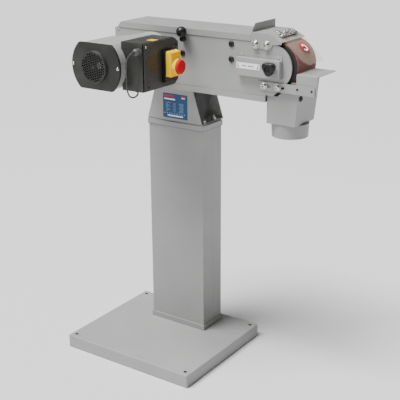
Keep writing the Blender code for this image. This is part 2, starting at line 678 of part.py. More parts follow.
# ---------------------------------------------------------------- guard, shield and work rest
GUARD_KNEE, GUARD_TIP = (0.3317, GUARD_TOP), (0.3705, 0.9665)
SLOPE = math.atan2(GUARD_KNEE[1] - GUARD_TIP[1], GUARD_TIP[0] - GUARD_KNEE[0])
SLOPE_LENGTH = math.dist(GUARD_KNEE, GUARD_TIP)


def off_slope(along, height):
    """A point over the guard's sloping face: along it from the knee, and up from its surface."""
    x = GUARD_KNEE[0] + along * math.cos(SLOPE) + height * math.sin(SLOPE)
    z = GUARD_KNEE[1] - along * math.sin(SLOPE) + height * math.cos(SLOPE)
    return (x, z)


def upper_guard():
    """A near cheek, a top that slopes down to the wheel, and an upright stop plate across the belt."""
    sheet = 0.0022
    y0, y1 = HEAD_Y[0] - 0.0030, HEAD_Y[1] - 0.0015
    bend = [
        (GUARD_X, 0.9632),
        (GUARD_X, STOP_TOP),
        (GUARD_X + sheet, STOP_TOP),
        (GUARD_X + sheet, GUARD_TOP),
        GUARD_KNEE,
        GUARD_TIP,
        off_slope(SLOPE_LENGTH, -sheet),
        (GUARD_KNEE[0] - 0.0005, GUARD_TOP - sheet),
        (GUARD_X + sheet, GUARD_TOP - sheet),
        (GUARD_X + sheet, 0.9632),
    ]
    made = flat("upper_guard", "XZ", [bend], (y0, y1), GREY)
    cheek = [
        (GUARD_X, GUARD_TOP - 0.0005),
        (GUARD_X, 0.9640),
        (0.2800, 0.9450),
        (0.3365, 0.9450),
        (0.3420, 0.9580),
        (0.3686, 0.9600),
        (GUARD_TIP[0] - 0.0003, GUARD_TIP[1] - 0.0005),
        (GUARD_KNEE[0], GUARD_KNEE[1] - 0.0005),
    ]
    fuse(made, flat("guard_cheek", "XZ", [cheek], (y0, y0 + 0.0027), GREY))
    corner = [(y0 - 0.01, GUARD_TOP + 0.0010), (0.0535, GUARD_TOP + 0.0010), (0.0535, STOP_TOP - 0.0125),
              (0.0675, STOP_TOP + 0.0005), (0.0675, STOP_TOP + 0.01), (y0 - 0.01, STOP_TOP + 0.01)]
    cutters = [flat("stop_corner", "YZ", [corner], (GUARD_X - 0.01, GUARD_X + 0.01), GREY)]
    cutters.append(box("stop_throat", (0.26, 0.0600, 0.95), (0.28, 0.18, 0.9834), GREY))
    for index, (x, z) in enumerate(GUARD_BOLTS, start=1):
        cutters.append(rod("guard_hole", (x, 0.04, z), (x, 0.052, z), 0.0043, GREY, 16))
        dome_screw(f"guard_bolt_{index}", (x, y0 - GAP, z), 0.0075, 0.0050, 0.0110, CHROME, 0.0098)
    return cut(made, *cutters)


SHIELD_BEND = SLOPE_LENGTH + 0.0010      # along the slope, where the shield turns down over the belt
SHIELD_SHEET = 0.0025
SHIELD_Y = (0.0620, 0.1650)
SHIELD_TIP = (0.4385, 0.9105)


def eye_shield():
    """A clear sheet: its top lies on the guard's slope, and it turns down past the wheel."""
    low, high = GAP, GAP + SHIELD_SHEET
    bend_low, bend_high = off_slope(SHIELD_BEND, low), off_slope(SHIELD_BEND + 0.0008, high)
    fall = Vector(SHIELD_TIP) - Vector(bend_high)
    inward = Vector((fall.y, -fall.x)).normalized() * SHIELD_SHEET
    outline = [
        off_slope(0.0080, low),
        bend_low,
        tuple(Vector(SHIELD_TIP) + inward),
        SHIELD_TIP,
        bend_high,
        off_slope(0.0080, high),
    ]
    made = flat("eye_shield", "XZ", [outline], SHIELD_Y, CLEAR)
    x, z = off_slope(0.0, low)
    hinge_at(made, (x, sum(SHIELD_Y) / 2, z))
    base = GAP + high
    bar = [off_slope(0.0140, base), off_slope(0.0280, base), off_slope(0.0280, base + 0.0030),
           off_slope(0.0140, base + 0.0030)]
    return flat("shield_clamp_bar", "XZ", [bar], (0.0680, 0.1560), STEEL)


def work_rest():
    y1 = HEAD_Y[0] - GAP
    y0 = y1 - 0.0030
    (x0, x1), (z0, z1) = REST_ARM_X, REST_ARM_Z
    arm = box("rest_arm", (x0, y0, z0), (x1, y1, z1), GREY)
    for index, (x, z) in enumerate(REST_BOLTS, start=1):
        slot = [*arc((x + 0.0165, z), 0.0043, -90, 90, 8), *arc((x - 0.0060, z), 0.0043, 90, 270, 8)]
        cut(arm, flat("arm_slot", "XZ", [slot], (0.03, 0.06), GREY))
        dome_screw(f"rest_bolt_{index}", (x, y0 - GAP, z), 0.0080, 0.0052, 0.0105, CHROME, 0.0105)
    (x0, x1), (y0, y1), sheet = TABLE_X, TABLE_Y, 0.0025
    fold = [(y0, z0), (y0 + sheet, z0), (y0 + sheet, TABLE_TOP - sheet), (y1, TABLE_TOP - sheet),
            (y1, TABLE_TOP), (y0, TABLE_TOP)]
    return flat("rest_table", "YZ", [fold], TABLE_X, GREY)


# ---------------------------------------------------------------- dust hopper and spout
def dust_hopper():
    (x0, x1), (y0, y1), (z0, z1) = HOPPER_X, HOPPER_Y, HOPPER_Z
    wall = 0.0018
    lean = 0.0130                 # the right wall leans out by this towards its top
    outer = [(x0, z0), (x1, z0), (x1 + lean, z1), (x1 + lean - 0.0250, z1), (0.3560, 0.8190), (x0, 0.8190)]
    inner = [(x0 + wall, z0 + wall), (x1 - wall, z0 + wall), (x1 + lean * 1.2 - wall, z1 + 0.0243),
             (x0 + wall, z1 + 0.0243)]
    made = flat("dust_hopper", "XZ", [outer], (y0, y1), GREY)
    x, y = SPOUT_XY
    return cut(
        made,
        flat("hopper_inside", "XZ", [inner], (y0 + wall, y1 - wall), GREY),
        rod("hopper_outlet", (x, y, 0.72), (x, y, 0.76), 0.0400, GREY, ROUND),
    )


def dust_spout():
    top, thick = HOPPER_Z[0] - GAP, 0.0018
    r_top, r_low = SPOUT_R
    return turned(
        "dust_spout", (*SPOUT_XY, 0.0),
        [(top, 0.0403), (top, r_top), (SPOUT_BOTTOM, r_low), (SPOUT_BOTTOM, r_low - thick),
         (top - thick, r_top - thick), (top - thick, 0.0403)],
        GREY, 40, "Z",
    )


# ---------------------------------------------------------------- electrics
def chamfered_panel(low, high, corner):
    """A rectangle in YZ whose two far corners are cut off."""
    (y0, z0), (y1, z1) = low, high
    return [(y0, z0), (y1 - corner, z0), (y1, z0 + corner * 0.7),
            (y1, z1 - corner * 0.7), (y1 - corner, z1), (y0, z1)]


def switch_box():
    """A moulded box on the motor's side, hollowed to sit against the round housing, with a lid."""
    (x0, x1), (y0, y1), (z0, z1), wall = BOX_X, BOX_Y, BOX_Z, 0.0030
    corner = 0.0180
    made = flat("switch_box", "YZ", [chamfered_panel((y0, z0), (y1, z1), corner)], BOX_X, BLACK)
    inside = flat(
        "box_inside", "YZ",
        [chamfered_panel((y0 + wall, z0 + wall), (y1 - wall, z1 - wall), corner)],
        (x0 + wall, x1 + 0.01), BLACK,
    )
    around = rod("box_wall_round", (DRIVE_X, -0.2, WHEEL_Z), (DRIVE_X, 0.0, WHEEL_Z), MOTOR_R + 0.0035, BLACK, FINE)
    cut(inside, around)
    boss = rod("lower_gland", (0.0350, -0.1420, 0.8290), (0.0350, -0.1420, 0.8370), 0.0065, BLACK, 16)
    fuse(made, boss)
    cut(
        made,
        rod("motor_side", (DRIVE_X, -0.3, WHEEL_Z), (DRIVE_X, 0.1, WHEEL_Z), MOTOR_R + GAP, BLACK, FINE),
        inside,
    )
    lid = [chamfered_panel((y0 + 0.0035, z0 + 0.0010), (y1, z1 - 0.0010), corner)]
    return flat("switch_box_lid", "YZ", lid, LID_X, BLACK)


FLAP_FACE_X, FLAP_HINGE_Z = 0.1080, 0.9330


def switch():
    """A guarded stop and start switch: a base on the lid, and a yellow flap hinged along its top."""
    x0 = LID_X[1] + GAP
    y, z = SWITCH_Y, SWITCH_Z
    base = box("switch_base", (x0, y - 0.0230, z - 0.0430), (x0 + 0.0120, y + 0.0230, z + 0.0450), BLACK_PLASTIC)
    cut(base, rod("start_bore", (x0 - 0.01, y, z + 0.0200), (x0 + 0.02, y, z + 0.0200), 0.0080, BLACK_PLASTIC, 20))
    rod("start_button", (x0 + 0.0040, y, z + 0.0200), (x0 + 0.0150, y, z + 0.0200), 0.0075, GREEN, 20)
    back = x0 + 0.0123
    flap = box("switch_flap", (back, y - 0.0215, z - 0.0255), (FLAP_FACE_X, y + 0.0215, FLAP_HINGE_Z), YELLOW)
    hollow = box("flap_hollow", (back - 0.01, y - 0.0195, z - 0.0235), (FLAP_FACE_X - 0.0025, y + 0.0195, 0.9280),
                 YELLOW)
    knuckles = [
        rod("flap_knuckle", (back + 0.0045, y + a, FLAP_HINGE_Z), (back + 0.0045, y + b, FLAP_HINGE_Z), 0.0042,
            YELLOW, 16)
        for a, b in ((-0.0200, -0.0120), (-0.0040, 0.0040), (0.0120, 0.0200))
    ]
    collar = turned("flap_collar", (FLAP_FACE_X, y, z + 0.0015),
                    [(-0.0010, 0.0204), (-0.0010, 0.0213), (0.0120, 0.0213), (0.0120, 0.0204)], YELLOW, 40, "X")
    fuse(flap, *knuckles, collar)
    stem_low, stem_high = (back - 0.02, y, z + 0.0015), (FLAP_FACE_X + 0.02, y, z + 0.0015)
    cut(flap, hollow, rod("stop_bore", stem_low, stem_high, 0.0083, YELLOW, 20))
    hinge_at(flap, (back + 0.0045, y, FLAP_HINGE_Z))
    stop = turned(
        "stop_button", (FLAP_FACE_X, y, z + 0.0015),
        [(0.0205, 0.0), (0.0205, 0.0150), (0.0192, 0.0188), (0.0170, 0.0200), (0.0045, 0.0200), (0.0045, 0.0080),
         (-0.0100, 0.0080), (-0.0100, 0.0)],
        RED, 28, "X",
    )
    return base, flap, stop


CABLE_ROUTE = [
    (0.0620, -0.1897, 0.9450), (0.0612, -0.1965, 0.9445), (0.0545, -0.2012, 0.9370), (0.0480, -0.2015, 0.9250),
    (0.0440, -0.1995, 0.9090), (0.0415, -0.1970, 0.8900), (0.0398, -0.1950, 0.8700), (0.0385, -0.1930, 0.8500),
    (0.0378, -0.1890, 0.8370), (0.0372, -0.1810, 0.8250), (0.0364, -0.1680, 0.8188), (0.0356, -0.1545, 0.8178),
    (0.0351, -0.1440, 0.8220), (0.0350, -0.1420, 0.8275),
]


def cable():
    x, y, z = 0.0620, BOX_Y[0] - GAP, 0.9450
    turned(
        "cable_gland", (x, y, z),
        [(0.0, 0.0), (0.0, 0.0095), (-0.0070, 0.0095), (-0.0075, 0.0100), (-0.0150, 0.0100), (-0.0190, 0.0060),
         (-0.0220, 0.0050), (-0.0220, 0.0)],
        BLACK_PLASTIC, 6,
    )
    return tube("motor_cable", smooth_route(CABLE_ROUTE, 3), CABLE_R, BLACK_PLASTIC)


# ---------------------------------------------------------------- the whole machine
def build():
    base_plate()
    column()
    head_bracket()
    head_side_plate()
    head_tray()
    head_end_plate()
    top_cover()
    rear_door()
    platen()
    motor()
    contact_wheel()
    tension_spring()
    tension_lever()
    tracking_cover()
    tracking_knob()
    abrasive_belt()
    upper_guard()
    eye_shield()
    work_rest()
    dust_hopper()
    dust_spout()
    switch_box()
    switch()
    cable()
    for made in list(PARTS.objects) + list(CUTTERS.objects):
        if made.type == "MESH" and any(m.type == "SCREW" for m in made.modifiers):
            made.modifiers["turn"].use_smooth_shade = True


build()
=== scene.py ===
"""Looks for a pedestal belt linisher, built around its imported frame.

Pieces are drawn in the machine frame: X along the head towards the contact wheel, -Y towards the
motor's fan, Z up from the floor, with the origin under the middle of the base plate. add_piece moves
each one into the frame's own coordinates.
"""

import json
import math

import bmesh
import bpy
from mathutils import Matrix, Vector


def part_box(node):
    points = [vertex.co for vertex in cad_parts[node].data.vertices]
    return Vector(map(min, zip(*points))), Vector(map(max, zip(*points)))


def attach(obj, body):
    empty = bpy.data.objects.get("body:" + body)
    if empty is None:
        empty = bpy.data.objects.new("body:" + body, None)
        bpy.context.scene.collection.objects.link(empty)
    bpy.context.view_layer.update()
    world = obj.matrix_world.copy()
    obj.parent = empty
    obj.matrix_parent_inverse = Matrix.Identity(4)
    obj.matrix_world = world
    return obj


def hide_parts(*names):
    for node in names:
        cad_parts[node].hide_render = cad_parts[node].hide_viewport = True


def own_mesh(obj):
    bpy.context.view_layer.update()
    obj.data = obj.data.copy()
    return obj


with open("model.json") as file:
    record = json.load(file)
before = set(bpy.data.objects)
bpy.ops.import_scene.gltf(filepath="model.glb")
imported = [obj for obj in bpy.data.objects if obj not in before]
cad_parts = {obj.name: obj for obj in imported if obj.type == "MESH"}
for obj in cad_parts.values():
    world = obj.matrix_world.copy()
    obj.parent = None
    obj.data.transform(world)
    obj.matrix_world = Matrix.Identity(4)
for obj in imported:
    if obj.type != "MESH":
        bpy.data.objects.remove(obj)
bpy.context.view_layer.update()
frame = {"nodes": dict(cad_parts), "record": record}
NODES = frame["nodes"]
BODY_OF = {node: body for body, members in frame["record"]["behaviour"]["bodies"].items() for node in members}

base_low, base_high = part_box("base_plate")
SHIFT = Vector(((base_low.x + base_high.x) / 2, (base_low.y + base_high.y) / 2, 0.0))

# ---------------------------------------------------------------- the machine's own places, in metres
WHEEL_Z, DRIVE_X, CONTACT_X = 0.8990, -0.0560, 0.3470
PLATE_FACE_Y = 0.0505
FAN_FACE_Y, FAN_BOSS_Y, FAN_COVER_BACK_Y = -0.2080, -0.2180, -0.2005
FLAT_HALF = 0.0630
WING_THICKNESS = 0.0016
SHEET = 0.0025
LEVER_LEAN = math.radians(15)
LID_FACE_X = 0.0775
COLUMN_FACE_Y = 0.0642
GUARD_KNEE, GUARD_TIP = (0.3317, 0.9855), (0.3705, 0.9665)
SLOPE = math.atan2(GUARD_KNEE[1] - GUARD_TIP[1], GUARD_TIP[0] - GUARD_KNEE[0])
SHIELD_BEND, SHIELD_TIP, SHIELD_Y = (0.37335, 0.96822), (0.4385, 0.9105), (0.0620, 0.1650)
TOP_VIEW, NEAR_VIEW = (0, 0, 1), (0, -1, 0)


# ---------------------------------------------------------------- camera
def add_camera():
    lens = bpy.data.cameras.new("camera")
    lens.sensor_width = 36.0
    lens.lens = 82.0
    camera = bpy.data.objects.new("camera", lens)
    camera.location = (1.4285, -2.0304, 1.3722)
    camera.rotation_euler = [math.radians(a) for a in (70.606, 0.307, 34.627)]
    bpy.context.scene.collection.objects.link(camera)
    bpy.context.scene.camera = camera


add_camera()


# ---------------------------------------------------------------- shader maths
class Value:
    """A shader output that takes part in arithmetic."""

    def __init__(self, finish, socket):
        self.finish = finish
        self.socket = socket

    def maths(self, operation, other=0.0, swapped=False, clamped=False):
        pair = (other, self) if swapped else (self, other)
        return self.finish.node("ShaderNodeMath", dict(enumerate(pair)), operation=operation,
                                use_clamp=clamped)

    def __add__(self, other):
        return self.maths("ADD", other)

    def __sub__(self, other):
        return self.maths("SUBTRACT", other)

    def __rsub__(self, other):
        return self.maths("SUBTRACT", other, swapped=True)

    def __mul__(self, other):
        return self.maths("MULTIPLY", other)

    def __truediv__(self, other):
        return self.maths("DIVIDE", other)

    def __rtruediv__(self, other):
        return self.maths("DIVIDE", other, swapped=True)

    def __pow__(self, other):
        return self.maths("POWER", other)

    __radd__ = __add__
    __rmul__ = __mul__


class Finish:
    """A procedural material around one Principled shader, in metres of the object's own space."""

    def __init__(self, name, slot, **settings):
        self.material = bpy.data.materials.new(name)
        self.material.use_nodes = True
        self.tree = self.material.node_tree
        self.shader = self.tree.nodes["Principled BSDF"]
        self.slot = slot
        self.place = self.node("ShaderNodeTexCoord", out="Object")
        for socket, value in settings.items():
            self.set(socket.replace("_", " "), value)

    def node(self, kind, inputs=None, out=0, **settings):
        made = self.tree.nodes.new(kind)
        for setting, value in settings.items():
            setattr(made, setting, value)
        for key, value in (inputs or {}).items():
            self.feed(made.inputs[key], value)
        return Value(self, made.outputs[out])

    def feed(self, socket, value):
        if isinstance(value, Value):
            self.tree.links.new(value.socket, socket)
        elif socket.type == "RGBA" and len(value) == 3:
            socket.default_value = (*value, 1.0)
        else:
            socket.default_value = value

    def set(self, socket, value):
        self.feed(self.shader.inputs[socket], value)

    def stretched(self, x, y, z):
        return self.node("ShaderNodeMapping", {"Vector": self.place, "Scale": (x, y, z)})

    def noise(self, scale, detail=2.0, place=None, roughness=0.5):
        inputs = {"Vector": place or self.place, "Scale": scale, "Detail": detail, "Roughness": roughness}
        return self.node("ShaderNodeTexNoise", inputs)

    def cells(self, scale, out="Distance", place=None):
        return self.node("ShaderNodeTexVoronoi", {"Vector": place or self.place, "Scale": scale}, out=out)

    def across(self, value, low, high, to_low=0.0, to_high=1.0):
        """The value's span from low to high, spread over another span and held at its ends."""
        inputs = {"Value": value, "From Min": low, "From Max": high, "To Min": to_low, "To Max": to_high}
        return self.node("ShaderNodeMapRange", inputs)

    def mix(self, factor, first, second):
        inputs = {"Factor": factor, 6: first, 7: second}
        return self.node("ShaderNodeMix", inputs, out=2, data_type="RGBA")

    def axis(self, name):
        return self.node("ShaderNodeSeparateXYZ", {0: self.place}, out=name)

    def bump(self, height, distance, strength=1.0):
        inputs = {"Height": height, "Distance": distance, "Strength": strength}
        self.set("Normal", self.node("ShaderNodeBump", inputs))


def shade(colour, amount):
    return tuple(channel * amount for channel in colour)


def grey_paint(name, slot, colour, roughness):
    """Powder coat: a soft orange peel, with small changes of tone and gloss."""
    made = Finish(name, slot, Coat_Roughness=0.25)
    cloud = made.noise(9.0, 3.0)
    grain = made.noise(900.0, 2.0)
    tone = made.across(cloud * 0.75 + grain * 0.25, 0.35, 0.65)
    made.set("Base Color", made.mix(tone, shade(colour, 0.955), shade(colour, 1.03)))
    made.set("Roughness", made.across(made.noise(26.0, 3.0), 0.35, 0.65, roughness - 0.05, roughness + 0.06))
    made.set("Coat Weight", made.across(cloud, 0.3, 0.7, 0.06, 0.16))
    made.bump(made.noise(620.0, 1.5) + grain * 0.3, 0.00009, 0.55)
    return made


def black_coat(name, slot, colour, roughness, grain_scale, depth):
    """A black finish with a fine moulded or sprayed grain and a little dust."""
    made = Finish(name, slot, Specular_IOR_Level=0.32)
    dust = made.across(made.noise(16.0, 4.0, roughness=0.6), 0.48, 0.78)
    grain = made.cells(grain_scale)
    made.set("Base Color", made.mix(dust, colour, shade(colour, 1.45)))
    made.set("Roughness", made.across(made.noise(40.0, 3.0), 0.3, 0.7, roughness - 0.06, roughness + 0.10))
    made.bump(grain, depth, 0.5)
    return made


def bright_metal(name, slot, colour, roughness, lay=(1.0, 1.0, 1.0), line_scale=900.0, depth=0.00002):
    """Bare or plated metal, with fine tool lines that run along the axis of least scale."""
    made = Finish(name, slot, Metallic=1.0)
    lines = made.noise(line_scale, 3.0, made.stretched(*lay))
    cloud = made.noise(30.0, 3.0)
    made.set("Base Color", made.mix(made.across(cloud, 0.35, 0.7), shade(colour, 0.90), colour))
    made.set("Roughness", made.across(lines * 0.6 + cloud * 0.4, 0.3, 0.7, roughness - 0.05,
                                      roughness + 0.10))
    made.bump(lines, depth, 0.5)
    return made


def moulded(name, slot, colour, roughness, specular=0.5):
    """A coloured moulding: slight flow marks in its tone, and a fine spark-eroded grain."""
    made = Finish(name, slot, Specular_IOR_Level=specular)
    flow = made.noise(60.0, 3.0, made.stretched(1.0, 1.0, 0.35))
    made.set("Base Color", made.mix(made.across(flow, 0.3, 0.7), shade(colour, 0.93), shade(colour, 1.04)))
    made.set("Roughness", made.across(made.noise(120.0, 2.0), 0.3, 0.7, roughness - 0.04, roughness + 0.07))
    made.bump(made.noise(1900.0, 2.0), 0.00003, 0.5)
    return made


def rubber_finish(name, slot, colour, roughness):
    made = Finish(name, slot, Specular_IOR_Level=0.35)
    scuff = made.across(made.noise(180.0, 4.0, made.stretched(1.0, 0.2, 1.0), 0.65), 0.5, 0.8)
    made.set("Base Color", made.mix(scuff, colour, shade(colour, 1.9)))
    made.set("Roughness", made.across(scuff, 0.0, 1.0, roughness, roughness + 0.12))
    made.bump(made.noise(1400.0, 3.0), 0.00008, 0.6)
    return made


def belt_grit():
    """Aluminium oxide grit in resin: brown grains of several tones with painted glint highlights mixed into
    their colour, darker where the belt has worked.
    """
    made = Finish("belt_grit", "abrasive", Specular_IOR_Level=0.35)
    resin, grain, spark = (0.170, 0.064, 0.054), (0.320, 0.132, 0.112), (0.60, 0.42, 0.38)
    clumps = made.noise(420.0, 4.0, roughness=0.7)
    grains = made.cells(1100.0, out="Color")
    tone = made.node("ShaderNodeSeparateColor", {0: grains}, out=0)
    body = made.mix(made.across(clumps * 0.55 + tone * 0.45, 0.3, 0.7), resin, grain)
    # Painted highlight: bright specks in the grit's colour (spark) stand in for glints of light off the
    # grains.
    painted_glint_mask = made.across(tone * clumps, 0.50, 0.60)
    worn = made.across(made.noise(34.0, 3.0, made.stretched(0.25, 1.0, 0.25)), 0.45, 0.75, 0.0, 0.35)
    shown = made.mix(painted_glint_mask * 0.8, body, spark)
    made.set("Base Color", made.mix(worn, shown, (0.180, 0.082, 0.070)))
    made.set("Roughness", made.across(tone, 0.0, 1.0, 0.62, 0.95))
    made.bump(made.cells(1100.0) + clumps * 0.6, 0.00025, 0.9)
    return made


def clear_sheet():
    """Tinted clear sheet, denser where it is seen edge on, with light haze."""
    made = Finish("clear_sheet", "clear_plastic", Roughness=0.07, IOR=1.5)
    haze = made.noise(22.0, 4.0, roughness=0.6)
    facing = made.node("ShaderNodeLayerWeight", {"Blend": 0.35}, out="Facing")
    made.set("Base Color", made.mix(haze, (0.40, 0.355, 0.28), (0.48, 0.435, 0.36)))
    made.set("Alpha", made.across(facing + haze * 0.12, 0.05, 1.0, 0.03, 0.30))
    made.bump(made.noise(45.0, 1.0), 0.00004, 0.3)
    return made


def copper_winding():
    made = Finish("copper_winding", "winding", Metallic=0.7)
    wires = made.node(
        "ShaderNodeTexWave", {"Vector": made.place, "Scale": 330.0, "Distortion": 1.2}, bands_direction="X"
    )
    # Painted shade: the darker copper in the wave bands' troughs stands in for shade in the gaps between wire
    # turns.
    made.set("Base Color", made.mix(wires, (0.24, 0.09, 0.04), (0.62, 0.28, 0.12)))
    made.set("Roughness", made.across(wires, 0.0, 1.0, 0.55, 0.32))
    made.bump(wires, 0.0004, 0.7)
    return made


def print_ink(name, colour, roughness=0.42, slot="grey_paint"):
    """Printed film: even ink with the faintest mottle."""
    made = Finish(name, slot, Coat_Weight=0.04, Specular_IOR_Level=0.3)
    mottle = made.noise(260.0, 3.0)
    made.set("Base Color", made.mix(made.across(mottle, 0.3, 0.7), shade(colour, 0.94), colour))
    made.set("Roughness", made.across(mottle, 0.3, 0.7, roughness - 0.05, roughness + 0.05))
    made.bump(made.noise(500.0, 1.0), 0.00002, 0.4)
    return made


PAINT = (0.285, 0.288, 0.283)
GREY = grey_paint("machine_grey", "grey_paint", PAINT, 0.40)
MOTOR = grey_paint("motor_silver_grey", "motor_grey", (0.34, 0.34, 0.332), 0.34)
FAN_BLACK = black_coat("fan_cover_black", "black_paint", (0.020, 0.020, 0.018), 0.46, 1500.0, 0.00006)
BOX_BLACK = black_coat("switch_box_black", "black_paint", (0.034, 0.034, 0.031), 0.30, 1300.0, 0.00004)
PLASTIC = black_coat("black_moulding", "black_plastic", (0.010, 0.010, 0.010), 0.36, 1800.0, 0.00004)
SCREW_BLACK = black_coat("blackened_screw", "black_paint", (0.020, 0.019, 0.019), 0.34, 2500.0, 0.00002)
CABLE = rubber_finish("cable_sheath", "cable_rubber", (0.042, 0.042, 0.040), 0.32)
TYRE = rubber_finish("wheel_rubber", "rubber", (0.016, 0.016, 0.016), 0.55)
STEEL = bright_metal("machined_steel", "steel", (0.56, 0.56, 0.55), 0.30, (1.0, 0.08, 1.0))
ZINC = bright_metal("bright_plate", "chrome", (0.60, 0.60, 0.59), 0.22, depth=0.00001)
ALUMINIUM = bright_metal("turned_aluminium", "aluminium", (0.72, 0.72, 0.72), 0.30, (1.0, 0.15, 1.0))
COPPER = copper_winding()
GRIT = belt_grit()
CLEAR = clear_sheet()
YELLOW = moulded("yellow_moulding", "yellow_plastic", (0.92, 0.54, 0.001), 0.42, 0.04)
RED = moulded("red_moulding", "red_plastic", (0.56, 0.014, 0.016), 0.42, 0.06)
GLAND = moulded("gland_moulding", "black_plastic", (0.075, 0.075, 0.072), 0.34)
GREEN = moulded("green_moulding", "green_plastic", (0.02, 0.30, 0.07), 0.36)
BLUE_INK = print_ink("blue_panel_ink", (0.010, 0.060, 0.170))
PALE_INK = print_ink("pale_blue_ink", (0.26, 0.42, 0.60))
WHITE_INK = print_ink("white_ink", (0.92, 0.92, 0.92))
RED_INK = print_ink("red_ink", (0.44, 0.010, 0.024))
GREY_INK = print_ink("grey_ink", (0.07, 0.07, 0.07))
YELLOW_INK = print_ink("yellow_ink", (0.76, 0.47, 0.05), slot="yellow_plastic")


# ---------------------------------------------------------------- mesh helpers
def add_piece(name, bm, finish, body="frame", stands_for=(), sharp=40.0):
    """Makes the piece from its mesh, shifts it into the frame, and says what it rides on."""
    bmesh.ops.recalc_face_normals(bm, faces=bm.faces)
    mesh = bpy.data.meshes.new(name)
    bm.to_mesh(mesh)
    bm.free()
    mesh.transform(Matrix.Translation(SHIFT))
    mesh.materials.append(finish.material)
    mesh.shade_smooth()
    mesh.set_sharp_from_angle(angle=math.radians(sharp))
    made = bpy.data.objects.new(name, mesh)
    bpy.context.scene.collection.objects.link(made)
    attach(made, body)
    if stands_for:
        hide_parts(*stands_for)
    return made


def joined(*parts):
    """Several meshes as one."""
    whole = bmesh.new()
    for part in parts:
        mesh = bpy.data.meshes.new("part")
        part.to_mesh(mesh)
        part.free()
        whole.from_mesh(mesh)
        bpy.data.meshes.remove(mesh)
    return whole


def facing(point, direction, spin=0.0):
    """Sends the local origin to a point and local +Z to a direction."""
    turn = Vector(direction).to_track_quat("Z", "Y").to_matrix().to_4x4()
    return Matrix.Translation(point) @ turn @ Matrix.Rotation(math.radians(spin), 4, "Z")


def ring_of(bm, radius, height, segments):
    if not callable(radius) and radius == 0:
        return [bm.verts.new((0, 0, height))]
    ring = []
    for index in range(segments):
        turn = 2 * math.pi * index / segments
        reach = radius(turn) if callable(radius) else radius
        ring.append(bm.verts.new((reach * math.cos(turn), reach * math.sin(turn), height)))
    return ring


def bridge(bm, low, high):
    count = max(len(low), len(high))
    if count == 1:
        return
    for index in range(count):
        after = (index + 1) % count
        corners = [low[index % len(low)], low[after % len(low)], high[after % len(high)],
                   high[index % len(high)]]
        bm.faces.new(list(dict.fromkeys(corners)))


def turned(profile, at, segments=48, closed=False):
    """A piece turned around local Z. The profile is (radius, height), and a radius may be a function of the
    angle. A profile that starts and ends on the axis is closed already."""
    bm = bmesh.new()
    rings = [ring_of(bm, radius, height, segments) for radius, height in profile]
    for low, high in zip(rings, rings[1:]):
        bridge(bm, low, high)
    if closed:
        bridge(bm, rings[-1], rings[0])
    bmesh.ops.transform(bm, matrix=at, verts=bm.verts)
    return bm


def rounded_corner(radius, height, size, outward=True, steps=4):
    """Profile points of a rounded rim, from the side up to the top, or from the top down to the side."""
    points = []
    for index in range(steps + 1):
        turn = math.pi / 2 * index / steps
        points.append((radius - size + size * math.cos(turn), height - size + size * math.sin(turn)))
    return points if outward else points[::-1]


def hexagon(corner_radius):
    """The reach of a hexagon at each angle."""
    return lambda turn: corner_radius * math.cos(math.pi / 6) / math.cos(turn % (math.pi / 3) - math.pi / 6)


def outline_plate(outline, thickness, at):
    """A flat outline in local XY, from the local plane up by its thickness."""
    bm = bmesh.new()
    face = bm.faces.new([bm.verts.new((x, y, 0.0)) for x, y in outline])
    lifted = bmesh.ops.extrude_face_region(bm, geom=[face])
    verts = [item for item in lifted["geom"] if isinstance(item, bmesh.types.BMVert)]
    bmesh.ops.translate(bm, vec=(0, 0, thickness), verts=verts)
    bmesh.ops.transform(bm, matrix=at, verts=bm.verts)
    return bm


def round_rectangle(x0, y0, x1, y1, radius, steps=4):
    points = []
    for centre_x, centre_y, start in (
        (x1 - radius, y1 - radius, 0),
        (x0 + radius, y1 - radius, 90),
        (x0 + radius, y0 + radius, 180),
        (x1 - radius, y0 + radius, 270),
    ):
        for index in range(steps + 1):
            turn = math.radians(start + 90 * index / steps)
            points.append((centre_x + radius * math.cos(turn), centre_y + radius * math.sin(turn)))
    return points


def arc(centre, radius, start, end, steps):
    angles = (math.radians(start + (end - start) * index / steps) for index in range(steps + 1))
    return [(centre[0] + radius * math.cos(a), centre[1] + radius * math.sin(a)) for a in angles]


def on_face(point, normal, across):
    """Local X runs across, local Z runs out along the normal, and local Y completes the frame."""
    out, side = Vector(normal).normalized(), Vector(across).normalized()
    up = out.cross(side)
    turn = Matrix((side, up, out)).transposed().to_4x4()
    return Matrix.Translation(point) @ turn


def settled(made):
    """Applies the piece's modifiers."""
    seen = made.evaluated_get(bpy.context.evaluated_depsgraph_get())
    mesh = bpy.data.meshes.new_from_object(seen)
    made.modifiers.clear()
    old, made.data = made.data, mesh
    bpy.data.meshes.remove(old)
    return made


def face_width(face, edge):
    """How far a face reaches from one of its edges."""
    start, along = edge.verts[0].co, (edge.verts[1].co - edge.verts[0].co).normalized()
    return max((vert.co - start).cross(along).length for vert in face.verts)


